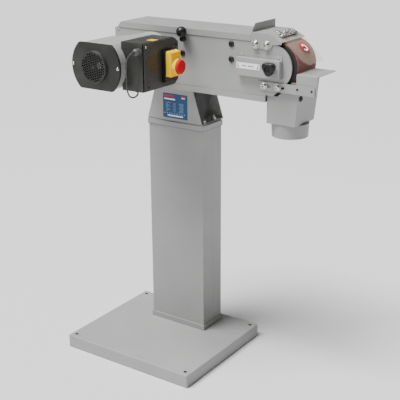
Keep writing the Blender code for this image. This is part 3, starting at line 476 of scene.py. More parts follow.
def softened(node, finish, fold=0.0020, cut=0.0006, name=None, steps=3):
    """Stands for a CAD piece with its folds and cut edges rounded, each by what its own faces allow."""
    bm = bmesh.new()
    bm.from_mesh(NODES[node].data)
    bmesh.ops.remove_doubles(bm, verts=bm.verts, dist=0.000002)
    bmesh.ops.dissolve_limit(bm, angle_limit=math.radians(0.8), verts=bm.verts, edges=bm.edges)
    weights = bm.edges.layers.float.new("bevel_weight_edge")
    largest = max(fold, cut)
    for edge in bm.edges:
        if len(edge.link_faces) != 2 or edge.calc_face_angle(0.0) < math.radians(28):
            continue
        room = min(face_width(face, edge) for face in edge.link_faces)
        width = fold if room > 4.5 * fold else min(cut, 0.36 * room)
        if not edge.is_convex:
            width = min(width, cut)
        edge[weights] = width / largest
    bmesh.ops.translate(bm, vec=-SHIFT, verts=bm.verts)
    made = add_piece(name or node + "_form", bm, finish, BODY_OF[node], (node,), 60.0)
    bevel = made.modifiers.new("edges", "BEVEL")
    bevel.limit_method = "WEIGHT"
    bevel.width = largest
    bevel.segments = steps
    bevel.harden_normals = True
    bevel.use_clamp_overlap = True
    return settled(made)


def paint_node(node, finish):
    for material_slot in NODES[node].material_slots:
        material_slot.material = finish.material


def socket_screw(seat, direction, radius, height, washer=0.0, socket=0.42, shank=0.0, spin=8.0):
    """A button-head screw with a hexagon socket, and a washer under it."""
    segments, thick = 36, 0.0012
    profile = [(0.0, -shank), (radius * 0.5, -shank), (radius * 0.5, 0.0)]
    if washer:
        profile += [(washer - 0.0002, 0.0), (washer, 0.0003), (washer, thick - 0.0003),
                    (washer - 0.0003, thick)]
        profile += [(radius * 0.98, thick)]
    else:
        profile += [(radius * 0.98, 0.0)]
    base = thick if washer else 0.0
    profile += [(radius, base + height * 0.08), (radius, base + height * 0.22)]
    for index in range(1, 7):
        turn = math.pi / 2 * index / 7
        profile.append((radius * (0.46 + 0.54 * math.cos(turn)),
                        base + height * (0.22 + 0.78 * math.sin(turn))))
    top = base + height
    corner = radius * socket
    profile += [(corner * 1.10, top), (hexagon(corner), top - 0.0002), (hexagon(corner), top - height * 0.55)]
    profile.append((0.0, top - height * 0.62))
    return turned(profile, facing(seat, direction, spin), segments)


def hex_bolt(seat, direction, radius, height, thread_length=0.0, washer=0.0, shank=0.0, spin=0.0):
    """A hexagon head or nut, with a washer, and the end of its thread standing out of it."""
    thick = 0.0012 if washer else 0.0
    profile = [(0.0, -shank), (radius * 0.5, -shank), (radius * 0.5, 0.0)]
    if washer:
        profile += [(washer, 0.0), (washer, thick)]
    profile += [(radius * 0.84, thick), (hexagon(radius), thick + 0.0006),
                (hexagon(radius), thick + height - 0.0007)]
    profile.append((radius * 0.84, thick + height))
    top = thick + height
    core = radius * 0.50
    profile.append((core * 0.86, top))
    pitch = 0.0008
    for index in range(int(thread_length / pitch)):
        low = top + index * pitch
        profile += [(core, low + pitch * 0.35), (core, low + pitch * 0.55), (core * 0.86, low + pitch)]
    profile.append((0.0, top + thread_length + 0.0003))
    return turned(profile, facing(seat, direction, spin), 36)


def strip_along(path, width, thickness):
    """A strip of constant width in Y that follows a path in XZ, standing up from it by its thickness."""
    bm = bmesh.new()
    rows = []
    for index, (x, z) in enumerate(path):
        before, after = path[max(index - 1, 0)], path[min(index + 1, len(path) - 1)]
        along = Vector((after[0] - before[0], after[1] - before[1])).normalized()
        up = Vector((-along.y, along.x))
        lift = [(0, 0.0), (0, 0.85), (1, 1.0)]
        row = []
        around = [(-1, step) for step in lift] + [(1, step) for step in reversed(lift)]
        for side, (inset, share) in around:
            y = side * (width / 2 - inset * thickness * 0.15)
            row.append(bm.verts.new((x + up.x * thickness * share, y, z + up.y * thickness * share)))
        rows.append(row)
    for low, high in zip(rows, rows[1:]):
        bridge(bm, low, high)
    bm.faces.new(rows[0])
    bm.faces.new(rows[-1])
    return bm


def marks(name, finish, at, outlines, thickness, body="frame"):
    """Thin printed shapes on a label."""
    return add_piece(name, joined(*[outline_plate(o, thickness, at) for o in outlines]), finish, body)


# ---------------------------------------------------------------- cable
CABLE_RADIUS = 0.0022
CABLE_ROUTE = [
    (0.0620, -0.1897, 0.9450), (0.0612, -0.1965, 0.9445), (0.0545, -0.2012, 0.9370),
    (0.0480, -0.2015, 0.9250), (0.0440, -0.1995, 0.9090), (0.0415, -0.1970, 0.8900),
    (0.0398, -0.1950, 0.8700), (0.0385, -0.1930, 0.8500), (0.0378, -0.1890, 0.8370),
    (0.0372, -0.1810, 0.8250), (0.0364, -0.1680, 0.8188), (0.0356, -0.1545, 0.8178),
    (0.0351, -0.1440, 0.8220), (0.0350, -0.1420, 0.8275),
]


def smooth_route(points, per_span):
    """Points on a smooth curve through the route's own points."""
    ends = [points[0], *points, points[-1]]
    route = []
    for before, here, after, beyond in zip(ends, ends[1:], ends[2:], ends[3:]):
        a, b, c, d = map(Vector, (before, here, after, beyond))
        for index in range(per_span):
            t = index / per_span
            along = 2 * b + (c - a) * t + (2 * a - 5 * b + 4 * c - d) * t**2 + (3 * b - a - 3 * c + d) * t**3
            route.append(0.5 * along)
    return [*route, Vector(points[-1])]


def motor_cable():
    route = [point + SHIFT for point in smooth_route(CABLE_ROUTE, 4)]
    curve = bpy.data.curves.new("switch_cable", "CURVE")
    curve.dimensions = "3D"
    curve.bevel_depth = CABLE_RADIUS
    curve.bevel_resolution = 5
    curve.use_fill_caps = True
    spline = curve.splines.new("POLY")
    spline.points.add(len(route) - 1)
    for point, place in zip(spline.points, route):
        point.co = (*place, 1.0)
    spline.use_smooth = True
    curve.materials.append(CABLE.material)
    made = bpy.data.objects.new("switch_cable", curve)
    bpy.context.scene.collection.objects.link(made)
    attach(made, "frame")
    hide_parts("motor_cable")
    length = sum((b - a).length for a, b in zip(route, route[1:]))


def cable_gland():
    """A hexagon body and a ribbed dome nut, with the sheath's rubber seal at its mouth."""
    at = facing((0.0620, -0.1673, 0.9450), NEAR_VIEW, 10)
    ribs = lambda radius: lambda turn: radius * (1 + 0.035 * math.cos(12 * turn))
    body = turned(
        [(0.0, 0.0), (0.0092, 0.0), (hexagon(0.0098), 0.0006), (hexagon(0.0098), 0.0060), (0.0088, 0.0066),
         (0.0078, 0.0068), (0.0078, 0.0078), (ribs(0.0092), 0.0084), (ribs(0.0094), 0.0150),
         (ribs(0.0078), 0.0186),
         (0.0056, 0.0206), (0.0040, 0.0212), (0.0034, 0.0204), (0.0, 0.0204)],
        at, 72,
    )
    add_piece("cable_gland_form", body, GLAND, stands_for=("cable_gland",), sharp=30)
    seal = turned([(0.0, 0.0200), (0.0035, 0.0200), (0.0032, 0.0216), (0.0026, 0.0219), (0.0, 0.0219)], at,
                  24)
    add_piece("cable_gland_seal", seal, CABLE)


motor_cable()
cable_gland()


# ---------------------------------------------------------------- stand
def stand():
    for node, fold, cut in (
        ("base_plate", 0.0030, 0.0008), ("column_foot_collar", 0.0010, 0.0007),
        ("column_front_channel", 0.0030, 0.0006), ("column_rear_channel", 0.0030, 0.0006),
        ("column_cap", 0.0028, 0.0010), ("head_bracket", 0.0030, 0.0008),
    ):
        softened(node, GREY, fold, cut)
    bolts = []
    for x in (-0.0830, 0.0915):
        for y in (0.0880, 0.1420):
            bolts.append(hex_bolt((x, y, 0.7013), TOP_VIEW, 0.0068, 0.0052, 0.0062, 0.0088, 0.012,
                                  13 + 900 * y))
    add_piece("bracket_bolts", joined(*bolts), ZINC, stands_for=("bracket_bolt_1", "bracket_bolt_2"))
    plugs = []
    for x in (-0.2070, 0.2070):
        for y in (-0.1765, 0.1765):
            rim = [(0.0056, 0.0), (0.0074, 0.0), (0.0076, 0.0003), (0.0072, 0.0005), (0.0059, 0.0005),
                   (0.0056, 0.0003)]
            plugs.append(turned(rim, facing((x, y, 0.0400), TOP_VIEW), 32, closed=True))
    add_piece("base_hole_rims", joined(*plugs), GREY)


def rating_panel():
    """A blue panel on the bracket with plain bars in place of any wording."""
    at = on_face((-0.0360, COLUMN_FACE_Y, 0.7075), NEAR_VIEW, (1, 0, 0))
    width, height = 0.0880, 0.0735
    panel = outline_plate(round_rectangle(0, 0, width, height, 0.0015), 0.0003, at)
    add_piece("rating_panel", panel, BLUE_INK)
    raised = on_face((-0.0360, COLUMN_FACE_Y - 0.0003, 0.7075), NEAR_VIEW, (1, 0, 0))
    bar = lambda x0, y0, x1, y1: round_rectangle(x0, y0, x1, y1, min(0.0006, (y1 - y0) * 0.3), 2)
    marks("panel_red_blocks", RED_INK, raised, [bar(0.004, 0.0625, 0.038, 0.0690),
                                                bar(0.066, 0.0655, 0.080, 0.0700)],
          0.0001)
    rows = [bar(0.004, 0.0545, 0.044, 0.0585), bar(0.016, 0.0055, 0.072, 0.0095),
            bar(0.067, 0.0620, 0.080, 0.0650)]
    marks("panel_white_bars", WHITE_INK, raised, rows, 0.0001)
    lines = []
    for row in range(8):
        y = 0.0200 + row * 0.0036
        lines.append(bar(0.010, y, 0.018 + 0.010 * ((row * 5) % 3) / 2, y + 0.0010))
        lines.append(bar(0.056 + 0.006 * ((row * 7) % 3) / 2, y, 0.074, y + 0.0010))
        lines.append(bar(0.036, y, 0.046, y + 0.0007))
    for spot in range(9):
        x = 0.005 + spot * 0.0088
        lines.append(bar(x, 0.0125, x + 0.0034, 0.0158))
    marks("panel_pale_lines", PALE_INK, raised, lines, 0.0001)


# ---------------------------------------------------------------- head
def head():
    for node, fold, cut in (
        ("head_side_plate", 0.0012, 0.0007), ("head_tray", 0.0022, 0.0006),
        ("head_end_plate", 0.0010, 0.0004), ("top_cover", 0.0026, 0.0005), ("rear_door", 0.0010, 0.0005),
    ):
        softened(node, GREY, fold, cut)
    softened("platen", STEEL, 0.0010, 0.0005)
    for index, (x, z) in enumerate(((0.2115, 0.9480), (0.2115, 0.9060)), start=1):
        screw = socket_screw((x, PLATE_FACE_Y, z), NEAR_VIEW, 0.0090, 0.0040, 0.0, 0.48, 0.0080)
        add_piece(f"platen_screw_{index}_form", screw, SCREW_BLACK, stands_for=(f"platen_screw_{index}",))
    lone = socket_screw((0.0475, PLATE_FACE_Y, 0.9070), NEAR_VIEW, 0.0090, 0.0040, 0.0, 0.48)
    add_piece("motor_plate_screw", lone, SCREW_BLACK)
    corner = socket_screw((-0.1870, PLATE_FACE_Y, 0.9550), NEAR_VIEW, 0.0036, 0.0020, 0.0, 0.5)
    add_piece("corner_screw", corner, ZINC)
    door_latch()


def door_latch():
    grip = lambda radius: lambda turn: radius * (1 + 0.05 * math.cos(8 * turn))
    knob = turned(
        [(0.0, 0.0), (0.0110, 0.0), (0.0115, 0.0018), (grip(0.0168), 0.0022), (grip(0.0173), 0.0060),
         (grip(0.0168), 0.0098), (grip(0.0140), 0.0122), (0.0060, 0.0124), (0.0050, 0.0116), (0.0, 0.0116)],
        facing((0.2500, 0.1758, 0.9350), (0, 1, 0)), 72,
    )
    add_piece("door_knob_form", knob, PLASTIC, "door", ("door_knob",))


def lever():
    """The tension lever: a pivot boss with its screw, and a leaning bar with a ball."""
    x, z = 0.0530, 0.9490
    pivot = turned(
        [(0.0, 0.0), (0.0072, 0.0), *rounded_corner(0.0075, 0.0140, 0.0018), (0.0042, 0.0140),
         (0.0038, 0.0128),
         (hexagon(0.0030), 0.0126), (hexagon(0.0030), 0.0108), (0.0, 0.0106)],
        facing((x, PLATE_FACE_Y - 0.0003, z), NEAR_VIEW), 48,
    )
    bar = outline_plate(
        [*arc((0, 0), 0.0046, 180, 360, 12), *arc((0, 0.0225), 0.0036, 0, 180, 12)], 0.0042,
        on_face((x, PLATE_FACE_Y - 0.0040, z), NEAR_VIEW, (math.cos(LEVER_LEAN), 0, -math.sin(LEVER_LEAN))),
    )
    bmesh.ops.bevel(bar, geom=[e for e in bar.edges if e.calc_face_angle(0) > 0.9], offset=0.0010, segments=3,
                    affect="EDGES", clamp_overlap=True)
    add_piece("tension_lever_form", joined(pivot, bar), SCREW_BLACK, "lever", ("tension_lever",))
    radius = 0.0150
    arc_points = [(radius * math.sin(t), 0.0147 - radius * math.cos(t)) for t in
                  (math.pi * (0.10 + 0.90 * index / 20) for index in range(20))]
    ball = turned([(0.0, arc_points[0][1]), *arc_points, (0.0, 0.0147 + radius)],
                  facing((x + 0.0060, PLATE_FACE_Y - 0.0072, z + 0.0218), NEAR_VIEW), 48)
    add_piece("lever_ball_form", ball, PLASTIC, "lever", ("lever_ball",))


def tracking():
    """The box over the tracking screw, its label, its two small screws and its knob."""
    softened("tracking_cover", GREY, 0.0022, 0.0005)
    screws = [socket_screw((x, PLATE_FACE_Y - 0.0018, 0.9245), NEAR_VIEW, 0.0030, 0.0016, 0.0, 0.5)
              for x in (0.2457, 0.3610)]
    add_piece("tracking_cover_screws", joined(*screws), ZINC)
    face_y = 0.0345
    at = on_face((0.2385, face_y, 0.8885), NEAR_VIEW, (1, 0, 0))
    add_piece("tracking_label", outline_plate(round_rectangle(0, 0, 0.0725, 0.0160, 0.0008), 0.0003, at),
              WHITE_INK)
    raised = on_face((0.2385, face_y - 0.0003, 0.8885), NEAR_VIEW, (1, 0, 0))
    arrows = []
    for centre_x, side in ((0.0085, -1), (0.0640, 1)):
        centre = (centre_x, 0.0080)
        start, end = (115, 245) if side < 0 else (65, -65)
        arrows.append([*arc(centre, 0.0060, start, end, 10), *arc(centre, 0.0036, end, start, 10)])
        tip = arc(centre, 0.0048, end + side * -38, end + side * -28, 1)[0]
        outer, inner = arc(centre, 0.0078, end, end, 1)[0], arc(centre, 0.0018, end, end, 1)[0]
        arrows.append([outer, tip, inner])
    marks("tracking_label_arrows", RED_INK, raised, arrows, 0.0001)
    starts = [0.0180 + 0.0038 * index for index in range(10) if index != 4]
    words = [round_rectangle(x, 0.0060, x + 0.0026, 0.0100, 0.0005, 2) for x in starts]
    marks("tracking_label_bars", GREY_INK, raised, words, 0.0001)
    lobes = lambda radius, depth: lambda turn: radius + depth * math.cos(3 * turn + math.pi / 2)
    knob = turned(
        [(0.0, -0.0380 + 0.0345), (0.0040, -0.0035), (0.0040, 0.0004), (0.0110, 0.0004), (0.0110, 0.0050),
         (lobes(0.0150, 0.0018), 0.0056), (lobes(0.0176, 0.0025), 0.0075), (lobes(0.0180, 0.0025), 0.0110),
         (lobes(0.0180, 0.0025), 0.0165), (lobes(0.0174, 0.0025), 0.0192), (lobes(0.0158, 0.0023), 0.0212),
         (lobes(0.0132, 0.0019), 0.0222), (0.0092, 0.0223), (0.0082, 0.0216), (0.0078, 0.0190),
         (0.0046, 0.0186),
         (0.0042, 0.0200), (0.0, 0.0202)],
        facing((CONTACT_X, 0.0345, WHEEL_Z), NEAR_VIEW, 180), 96,
    )
    add_piece("tracking_knob_form", knob, PLASTIC, "knob", ("tracking_knob",))


def tension_spring():
    """The coil spring beside the axle carriage, kept as a fixed copy on the frame; the real spring shortens
    as the carriage is drawn in, this one does not.
    """
    bm = bmesh.new()
    bm.from_mesh(NODES["tension_spring"].data)
    bmesh.ops.translate(bm, vec=-SHIFT, verts=bm.verts)
    made = add_piece("tension_spring_form", bm, STEEL, stands_for=("tension_spring",))
    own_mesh(made)


# ---------------------------------------------------------------- motor
def motor():
    """The housing, round with a flat above and below, its end shields and its fan cover."""
    axis = (DRIVE_X, 0.0, WHEEL_Z)
    at = on_face(axis, NEAR_VIEW, (1, 0, 0))
    near, back = 0.2002, -0.0399
    flat = lambda radius, half: lambda turn: min(radius, half / max(abs(math.sin(turn)), 0.01))
    skin = lambda radius: flat(radius, FLAT_HALF - 0.0750 + radius)
    bore = flat(0.0700, FLAT_HALF - 0.0045)
    housing = turned(
        [(0.0553, back), (0.0612, back), (0.0612, 0.0), (0.0618, 0.0120), (flat(0.0738, FLAT_HALF), 0.0850),
         (flat(0.0746, FLAT_HALF), 0.0930), (skin(0.0750), 0.1000), (skin(0.0750), near - 0.0090),
         (skin(0.0745), near - 0.0085), (skin(0.0745), near - 0.0075), (skin(0.0750), near - 0.0070),
         (skin(0.0750), near - 0.0012), (skin(0.0738), near), (0.0580, near), (0.0580, near - 0.0040),
         (bore, near - 0.0040), (bore, 0.1290), (0.0553, 0.1290)],
        at, 144, closed=True,
    )
    add_piece("motor_housing_form", housing, MOTOR, stands_for=("motor_housing",), sharp=30)
    flange = turned([(0.0102, -0.0502), (0.0600, -0.0502), (0.0600, -0.0412), (0.0592, -0.0402),
                     (0.0102, -0.0402)],
                    at, 96, closed=True)
    add_piece("front_endshield_form", flange, MOTOR, stands_for=("front_endshield",))
    low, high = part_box("rear_endshield")
    seat, top = SHIFT.y - high.y, SHIFT.y - low.y
    disc = flat(0.0694, FLAT_HALF - 0.0050)
    shield = turned([(0.0102, seat), (disc, seat), (disc, top), (0.0102, top)], at, 144, closed=True)
    add_piece("rear_endshield_form", shield, ALUMINIUM, stands_for=("rear_endshield",))
    fan_cover(axis)


def fan_cover(axis):
    """A pressed black plate with flats above and below, and a raised round grille of small holes."""
    at = on_face(axis, NEAR_VIEW, (1, 0, 0))
    rim = lambda inset: lambda turn: min(0.0840 - inset, (0.0630 - inset) / max(abs(math.sin(turn)), 0.01))
    back, face, boss = -FAN_COVER_BACK_Y, -FAN_FACE_Y, -FAN_BOSS_Y
    plate = turned(
        [(0.0400, back), (rim(0.0004), back), (rim(0.0), back + 0.0004), (rim(0.0), face - 0.0012),
         (rim(0.0004), face - 0.0004), (rim(0.0014), face), (0.0452, face), (0.0444, face + 0.0004),
         (0.0440, face + 0.0012), (0.0440, boss - 0.0022), (0.0436, boss - 0.0010), (0.0428, boss - 0.0003),
         (0.0415, boss), (0.0400, boss - 0.0006), (0.0, boss - 0.0006), (0.0, boss - 0.0026),
         (0.0400, boss - 0.0026)],
        at, 144, closed=True,
    )
    made = add_piece("fan_cover_form", plate, FAN_BLACK, stands_for=("fan_cover",), sharp=35)
    drills = []
    pitch, reach = 0.0070, 0.0380
    for row in range(-7, 8):
        for column in range(-7, 8):
            x = pitch * (column + 0.5 * (row % 2))
            y = pitch * 0.866 * row
            spun = Matrix.Rotation(math.radians(18), 2) @ Vector((x, y))
            if 0.0050 < spun.length < reach:
                place = at @ Matrix.Translation((spun.x, spun.y, boss))
                drills.append(turned([(0.0, -0.005), (0.0027, -0.005), (0.0027, 0.003), (0.0, 0.003)],
                                     place, 12))
    cutter = joined(*drills)
    bmesh.ops.translate(cutter, vec=SHIFT, verts=cutter.verts)
    bmesh.ops.recalc_face_normals(cutter, faces=cutter.faces)
    mesh = bpy.data.meshes.new("air_holes")
    cutter.to_mesh(mesh)
    cutter.free()
    tool = bpy.data.objects.new("air_holes", mesh)
    bpy.context.scene.collection.objects.link(tool)
    step = made.modifiers.new("holes", "BOOLEAN")
    step.operation = "DIFFERENCE"
    step.solver = "EXACT"
    step.object = tool
    settled(made)
    bpy.data.objects.remove(tool, do_unlink=True)
    for side, x in (("left", DRIVE_X - 0.0780), ("right", DRIVE_X + 0.0780)):
        screw = socket_screw((x, FAN_FACE_Y, 0.9010), NEAR_VIEW, 0.0048, 0.0030, 0.0, 0.42, 0.0, 20)
        add_piece(f"fan_cover_screw_{side}", screw, ZINC)
    hub = turned(
        [(0.0, 0.0), (0.0056, 0.0), (0.0056, 0.0004), (0.0048, 0.0008), (0.0, 0.0010)],
        on_face((DRIVE_X, FAN_BOSS_Y + 0.0012, WHEEL_Z), NEAR_VIEW, (1, 0, 0)), 32,
    )
    add_piece("fan_cover_hub", hub, FAN_BLACK)


# ---------------------------------------------------------------- switch box
def switch_box():
    softened("switch_box", BOX_BLACK, 0.0018, 0.0008)
    softened("switch_box_lid", BOX_BLACK, 0.0016, 0.0012)
    softened("switch_base", PLASTIC, 0.0022, 0.0008)
    for name, y, z in (("near", -0.1570, 0.9565), ("far", -0.0240, 0.9450), ("low", -0.1480, 0.8460),
                       ("low_far", -0.0240, 0.8560)):
        screw = socket_screw((LID_FACE_X, y, z), (1, 0, 0), 0.0034, 0.0018, 0.0, 0.45)
        add_piece(f"lid_screw_{name}", screw, ZINC if name == "near" else SCREW_BLACK)
    patch = outline_plate(
        round_rectangle(-0.0120, -0.0120, 0.0120, 0.0120, 0.0020), 0.0002,
        on_face((0.0585, -0.1040, 0.9665), TOP_VIEW, (1, 0, 0)),
    )
    add_piece("switch_box_patch", patch, YELLOW_INK)


def switch():
    """The hinged yellow stop flap with its scalloped knuckles, and the red button with a fluted rim."""
    softened("switch_flap", YELLOW, 0.0016, 0.0007)
    x0, y0, z0 = 0.0956, -0.0655, 0.9330
    lobes = []
    for offset in (-0.0160, 0.0, 0.0160):
        profile = [(0.0, -0.0050), (0.0050, -0.0050), (0.0062, -0.0040), (0.0064, 0.0), (0.0062, 0.0040),
                   (0.0050, 0.0050), (0.0, 0.0050)]
        lobes.append(turned(profile, facing((x0 + 0.0035, y0 + offset, z0 - 0.0030), (0, 1, 0)), 32))
    add_piece("flap_scallops", joined(*lobes), YELLOW, "flap")
    fluted = lambda radius: lambda turn: radius * (1 + 0.018 * math.cos(20 * turn))
    button = turned(
        [(0.0, -0.0080), (0.0080, -0.0080), (0.0080, 0.0046), (0.0150, 0.0046), (fluted(0.0193), 0.0050),
         (fluted(0.0196), 0.0065), (fluted(0.0196), 0.0165), (fluted(0.0190), 0.0183), (0.0172, 0.0195),
         (0.0130, 0.0202), (0.0070, 0.0205), (0.0, 0.0205)],
        facing((0.1080, y0, 0.8945), (1, 0, 0)), 120,
    )
    add_piece("stop_button_form", button, RED, "stop", ("stop_button",), 50)
    start = turned(
        [(0.0, 0.0), *[(r, h) for r, h in rounded_corner(0.0075, 0.0110, 0.0012)], (0.0052, 0.0110),
         (0.0048, 0.0106), (0.0, 0.0104)],
        facing((0.0818, y0, 0.9130), (1, 0, 0)), 40,
    )
    add_piece("start_button_form", start, GREEN, "start", ("start_button",))


# ---------------------------------------------------------------- contact wheel and belt
def belt():
    """The belt as a plain loop of even thickness round both wheels, without a splice."""
    outer, thick, half = 0.0660, 0.0012, 72
    low, high = 0.0620, 0.1640
    loop = [*arc((CONTACT_X, WHEEL_Z), outer, -90, 90, half), *arc((DRIVE_X, WHEEL_Z), outer, 90, 270, half)]
    centres = [(CONTACT_X, WHEEL_Z)] * (half + 1) + [(DRIVE_X, WHEEL_Z)] * (half + 1)
    bm = bmesh.new()
    sections = []
    for (x, z), (cx, cz) in zip(loop, centres):
        inward = Vector((cx - x, cz - z)).normalized() * thick
        section = [bm.verts.new((x, low, z)), bm.verts.new((x, high, z)),
                   bm.verts.new((x + inward.x, high, z + inward.y)),
                   bm.verts.new((x + inward.x, low, z + inward.y))]
        sections.append(section)
    for first, second in zip(sections, sections[1:] + sections[:1]):
        bridge(bm, first, second)
    add_piece("abrasive_belt_form", bm, GRIT, stands_for=("abrasive_belt",), sharp=40)


def contact_wheel():
    at = facing((CONTACT_X, 0.0, WHEEL_Z), (0, 1, 0))
    low, high, radius = 0.0600, 0.1660, 0.0642
    tyre = turned(
        [(0.0500, low), (radius - 0.0020, low), (radius - 0.0006, low + 0.0006), (radius, low + 0.0020),
         (radius, high - 0.0020), (radius - 0.0006, high - 0.0006), (radius - 0.0020, high), (0.0500, high)],
        at, 128, closed=True,
    )
    add_piece("contact_wheel_tyre_form", tyre, TYRE, "contact_wheel", ("contact_wheel_tyre",))


# ---------------------------------------------------------------- guard, shield and rest
def off_slope(along, height):
    """A point over the guard's sloping face: along it from the knee, and up from its surface."""
    x = GUARD_KNEE[0] + along * math.cos(SLOPE) + height * math.sin(SLOPE)
    z = GUARD_KNEE[1] - along * math.sin(SLOPE) + height * math.cos(SLOPE)
    return x, z


def guard():
    softened("upper_guard", GREY, 0.0018, 0.0006)
    for index, (x, z) in enumerate(((0.2895, 0.9545), (0.3240, 0.9550)), start=1):
        bolt = socket_screw((x, 0.0472, z), NEAR_VIEW, 0.0090, 0.0056, 0.0114, 0.46, 0.0080, 25 * index)
        add_piece(f"guard_bolt_{index}_form", bolt, ZINC, stands_for=(f"guard_bolt_{index}",))
    path = [(0.2860, 0.9856), (0.3300, 0.9856), (0.3325, 0.9853), off_slope(0.0040, 0.0001),
            off_slope(0.0125, 0.0001)]
    strip = strip_along(path, 0.0100, 0.0014)
    bmesh.ops.translate(strip, vec=(0, 0.0960, 0), verts=strip.verts)
    add_piece("shield_support_strip", strip, ZINC)


def wing_nut(at):
    hub = turned(
        [(0.0, 0.0), (0.0052, 0.0), (0.0055, 0.0006), (0.0046, 0.0048), (0.0040, 0.0056), (0.0028, 0.0056),
         (0.0028, 0.0088), (0.0022, 0.0094), (0.0, 0.0094)],
        at, 32,
    )
    wings = []
    for side in (-1, 1):
        start = -60 if side > 0 else 240
        ear = arc((0.0086 * side, 0.0072), 0.0034, start, 90, 6)
        outline = [(0.0030 * side, 0.0010), (0.0070 * side, 0.0012), *ear,
                   (0.0060 * side, 0.0100), (0.0040 * side, 0.0050)]
        upright = at @ Matrix.Rotation(math.pi / 2, 4, "X") @ Matrix.Translation((0, 0, -WING_THICKNESS / 2))
        wing = outline_plate(outline, WING_THICKNESS, upright)
        wings.append(wing)
    return joined(hub, *wings)


def shield_clamp():
    """The bar that holds the eye shield down, with two wing nuts on studs."""
    softened("shield_clamp_bar", ZINC, 0.0010, 0.0006)
    out = (math.sin(SLOPE), 0, math.cos(SLOPE))
    x, z = off_slope(0.0210, 0.0061)
    nuts = []
    for y, spin in ((0.0860, 20), (0.1260, -35)):
        at = on_face((x, y, z), out, (0, 1, 0)) @ Matrix.Rotation(math.radians(spin), 4, "Z")
        nuts.append(wing_nut(at))
    add_piece("shield_wing_nuts", joined(*nuts), ZINC)


def eye_shield():
    """A clear sheet that turns down past the wheel, with its two free corners cut off."""
    fall = (Vector(SHIELD_TIP) - Vector(SHIELD_BEND)).normalized()
    length = (Vector(SHIELD_TIP) - Vector(SHIELD_BEND)).length
    top_start = off_slope(0.0080, 0.0028)
    rows = [(top_start, 0.0), (off_slope(0.0380, 0.0028), 0.0)]
    bend, slope_along = Vector(SHIELD_BEND), Vector((math.cos(SLOPE), -math.sin(SLOPE)))
    for index in range(5):
        t = index / 4
        before, after = bend - slope_along * 0.0040, bend + fall * 0.0040
        point = before * (1 - t) ** 2 + bend * 2 * t * (1 - t) + after * t**2
        rows.append((tuple(point), 0.0))
    for distance, inset in ((0.0300, 0.0), (length - 0.0150, 0.0), (length - 0.0075, 0.0075),
                            (length, 0.0160)):
        rows.append((tuple(bend + fall * distance), inset))
    bm = bmesh.new()
    sections = []
    for index, ((x, z), inset) in enumerate(rows):
        before, after = rows[max(index - 1, 0)][0], rows[min(index + 1, len(rows) - 1)][0]
        along = Vector((after[0] - before[0], after[1] - before[1])).normalized()
        down = Vector((along.y, -along.x)) * SHEET
        low, high = SHIELD_Y[0] + inset, SHIELD_Y[1] - inset * 0.4
        sections.append([bm.verts.new((x, low, z)), bm.verts.new((x, high, z)),
                         bm.verts.new((x + down.x, high, z + down.y)),
                         bm.verts.new((x + down.x, low, z + down.y))])
    for first, second in zip(sections, sections[1:]):
        bridge(bm, first, second)
    bm.faces.new(sections[0])
    bm.faces.new(sections[-1])
    add_piece("eye_shield_form", bm, CLEAR, "shield", ("eye_shield",), 30)
    turning_mark(fall)


def turning_mark(fall):
    """A round red and white mark on the shield with a plain arrow that shows which way the belt runs."""
    out = Vector((-fall.y, 0, fall.x))
    centre = Vector((0.3987, 0.1208, 0.9458)) + out * 0.0001
    disc = turned([(0.0, 0.0), (0.0172, 0.0), (0.0174, 0.0002), (0.0172, 0.0003), (0.0, 0.0003)],
                  on_face(centre, out, (0, 1, 0)), 64)
    add_piece("shield_mark_disc", disc, RED_INK, "shield")
    raised = on_face(centre + out * 0.0003, out, (0, 1, 0))
    arrow = [*arc((0, 0), 0.0122, -150, 95, 28), *arc((0, 0), 0.0066, 95, -150, 28)]
    tip = [arc((0, 0), 0.0155, 95, 95, 1)[0], arc((0, 0), 0.0094, 138, 138, 1)[0],
           arc((0, 0), 0.0036, 95, 95, 1)[0]]
    marks("shield_mark_arrow", WHITE_INK, raised, [arrow, tip], 0.0001, "shield")
    hub = [round_rectangle(-0.0028, -0.0028, 0.0028, 0.0028, 0.0027, 4)]
    marks("shield_mark_centre", SCREW_BLACK, raised, hub, 0.0001, "shield")


def work_rest():
    softened("rest_arm", GREY, 0.0009, 0.0006)
    softened("rest_table", GREY, 0.0024, 0.0007)
    for index, (x, z) in enumerate(((0.3186, 0.8460), (0.3602, 0.8460)), start=1):
        bolt = socket_screw((x, 0.0469, z), NEAR_VIEW, 0.0082, 0.0050, 0.0105, 0.46, 0.0080, 17 * index)
        add_piece(f"rest_bolt_{index}_form", bolt, ZINC, stands_for=(f"rest_bolt_{index}",))
    screws = [socket_screw((x, 0.0472, 0.8466), NEAR_VIEW, 0.0034, 0.0010, 0.0, 0.62) for x in (0.4205,
                                                                                                0.4632)]
    add_piece("rest_table_screws", joined(*screws), SCREW_BLACK, "rest")


def hopper():
    softened("dust_hopper", GREY, 0.0022, 0.0006)
    spout = turned(
        [(0.0403, 0.7397), (0.0522, 0.7397), (0.0530, 0.7389), (0.0512, 0.7060), (0.0511, 0.7040),
         (0.0514, 0.7030),
         (0.0514, 0.7008), (0.0508, 0.7000), (0.0494, 0.7000), (0.0492, 0.7010), (0.0510, 0.7360),
         (0.0504, 0.7379),
         (0.0403, 0.7379)],
        Matrix.Translation((0.3663, 0.1130, 0.0)), 128, closed=True,
    )
    add_piece("dust_spout_form", spout, GREY, stands_for=("dust_spout",))
    lean = Vector((0.1215, 0, -0.0130)).normalized()
    screw = socket_screw((0.4189, 0.0705, 0.8175), lean, 0.0078, 0.0046, 0.0, 0.45)
    add_piece("hopper_screw", screw, SCREW_BLACK)


stand()
rating_panel()
head()
lever()
tracking()
tension_spring()
motor()
switch_box()
switch()
belt()
contact_wheel()
guard()
shield_clamp()
eye_shield()
work_rest()
hopper()

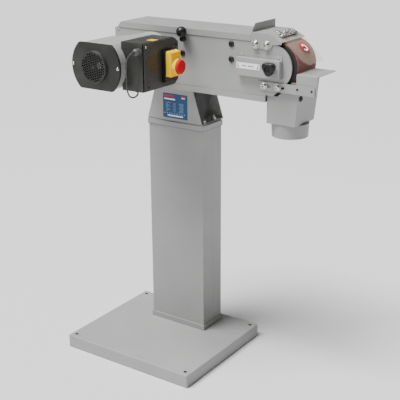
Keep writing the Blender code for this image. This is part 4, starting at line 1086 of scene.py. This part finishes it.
# ---------------------------------------------------------------- finishes on the CAD pieces that stay
for finish, nodes in (
    (STEEL, ("cover_hinge_pin", "rotor", "motor_shaft", "axle_carriage", "contact_axle",
             "wheel_bearing_near", "wheel_bearing_far")),
    (ALUMINIUM, ("drive_wheel", "contact_wheel_hub")),
    (COPPER, ("stator",)),
    (PLASTIC, ("cooling_fan",)),
):
    for node in nodes:
        paint_node(node, finish)


# ---------------------------------------------------------------- floor and light
FLOOR_HALF, SKY_STRENGTH = 40.0, 0.16
SUN_STRENGTH, SUN_SPREAD, SUN_FROM = 7.0, math.radians(30), (-0.25, -0.35, 1.0)


def studio():
    bm = bmesh.new()
    bmesh.ops.create_grid(bm, x_segments=2, y_segments=2, size=FLOOR_HALF)
    mesh = bpy.data.meshes.new("floor")
    bm.to_mesh(mesh)
    bm.free()
    floor = bpy.data.objects.new("floor", mesh)
    bpy.context.scene.collection.objects.link(floor)
    pale = Finish("pale_floor", "floor", Base_Color=(0.66, 0.66, 0.66), Roughness=0.9, Specular_IOR_Level=0.1)
    mesh.materials.append(pale.material)
    world = bpy.data.worlds.new("studio")
    world.use_nodes = True
    sky = world.node_tree.nodes["Background"]
    sky.inputs["Color"].default_value = (1.0, 1.0, 1.0, 1.0)
    sky.inputs["Strength"].default_value = SKY_STRENGTH
    bpy.context.scene.world = world
    for name, place, aim, size, power in (
        ("overhead", (0.0, 0.2, 2.7), (0.0, 0.1, 0.0), 2.2, 15.0),
        ("key", (-1.1, -2.3, 2.9), (0.0, 0.0, 0.75), 1.6, 22.0),
    ):
        light = bpy.data.lights.new(name, "AREA")
        light.shape = "SQUARE"
        light.size = size
        light.energy = power
        made = bpy.data.objects.new(name, light)
        made.location = place
        made.rotation_euler = (Vector(aim) - Vector(place)).to_track_quat("-Z", "Y").to_euler()
        bpy.context.scene.collection.objects.link(made)
    sun = bpy.data.lights.new("skylight", "SUN")
    sun.energy = SUN_STRENGTH
    sun.angle = SUN_SPREAD
    high = bpy.data.objects.new("skylight", sun)
    high.rotation_euler = Vector(SUN_FROM).to_track_quat("Z", "Y").to_euler()
    bpy.context.scene.collection.objects.link(high)


studio()
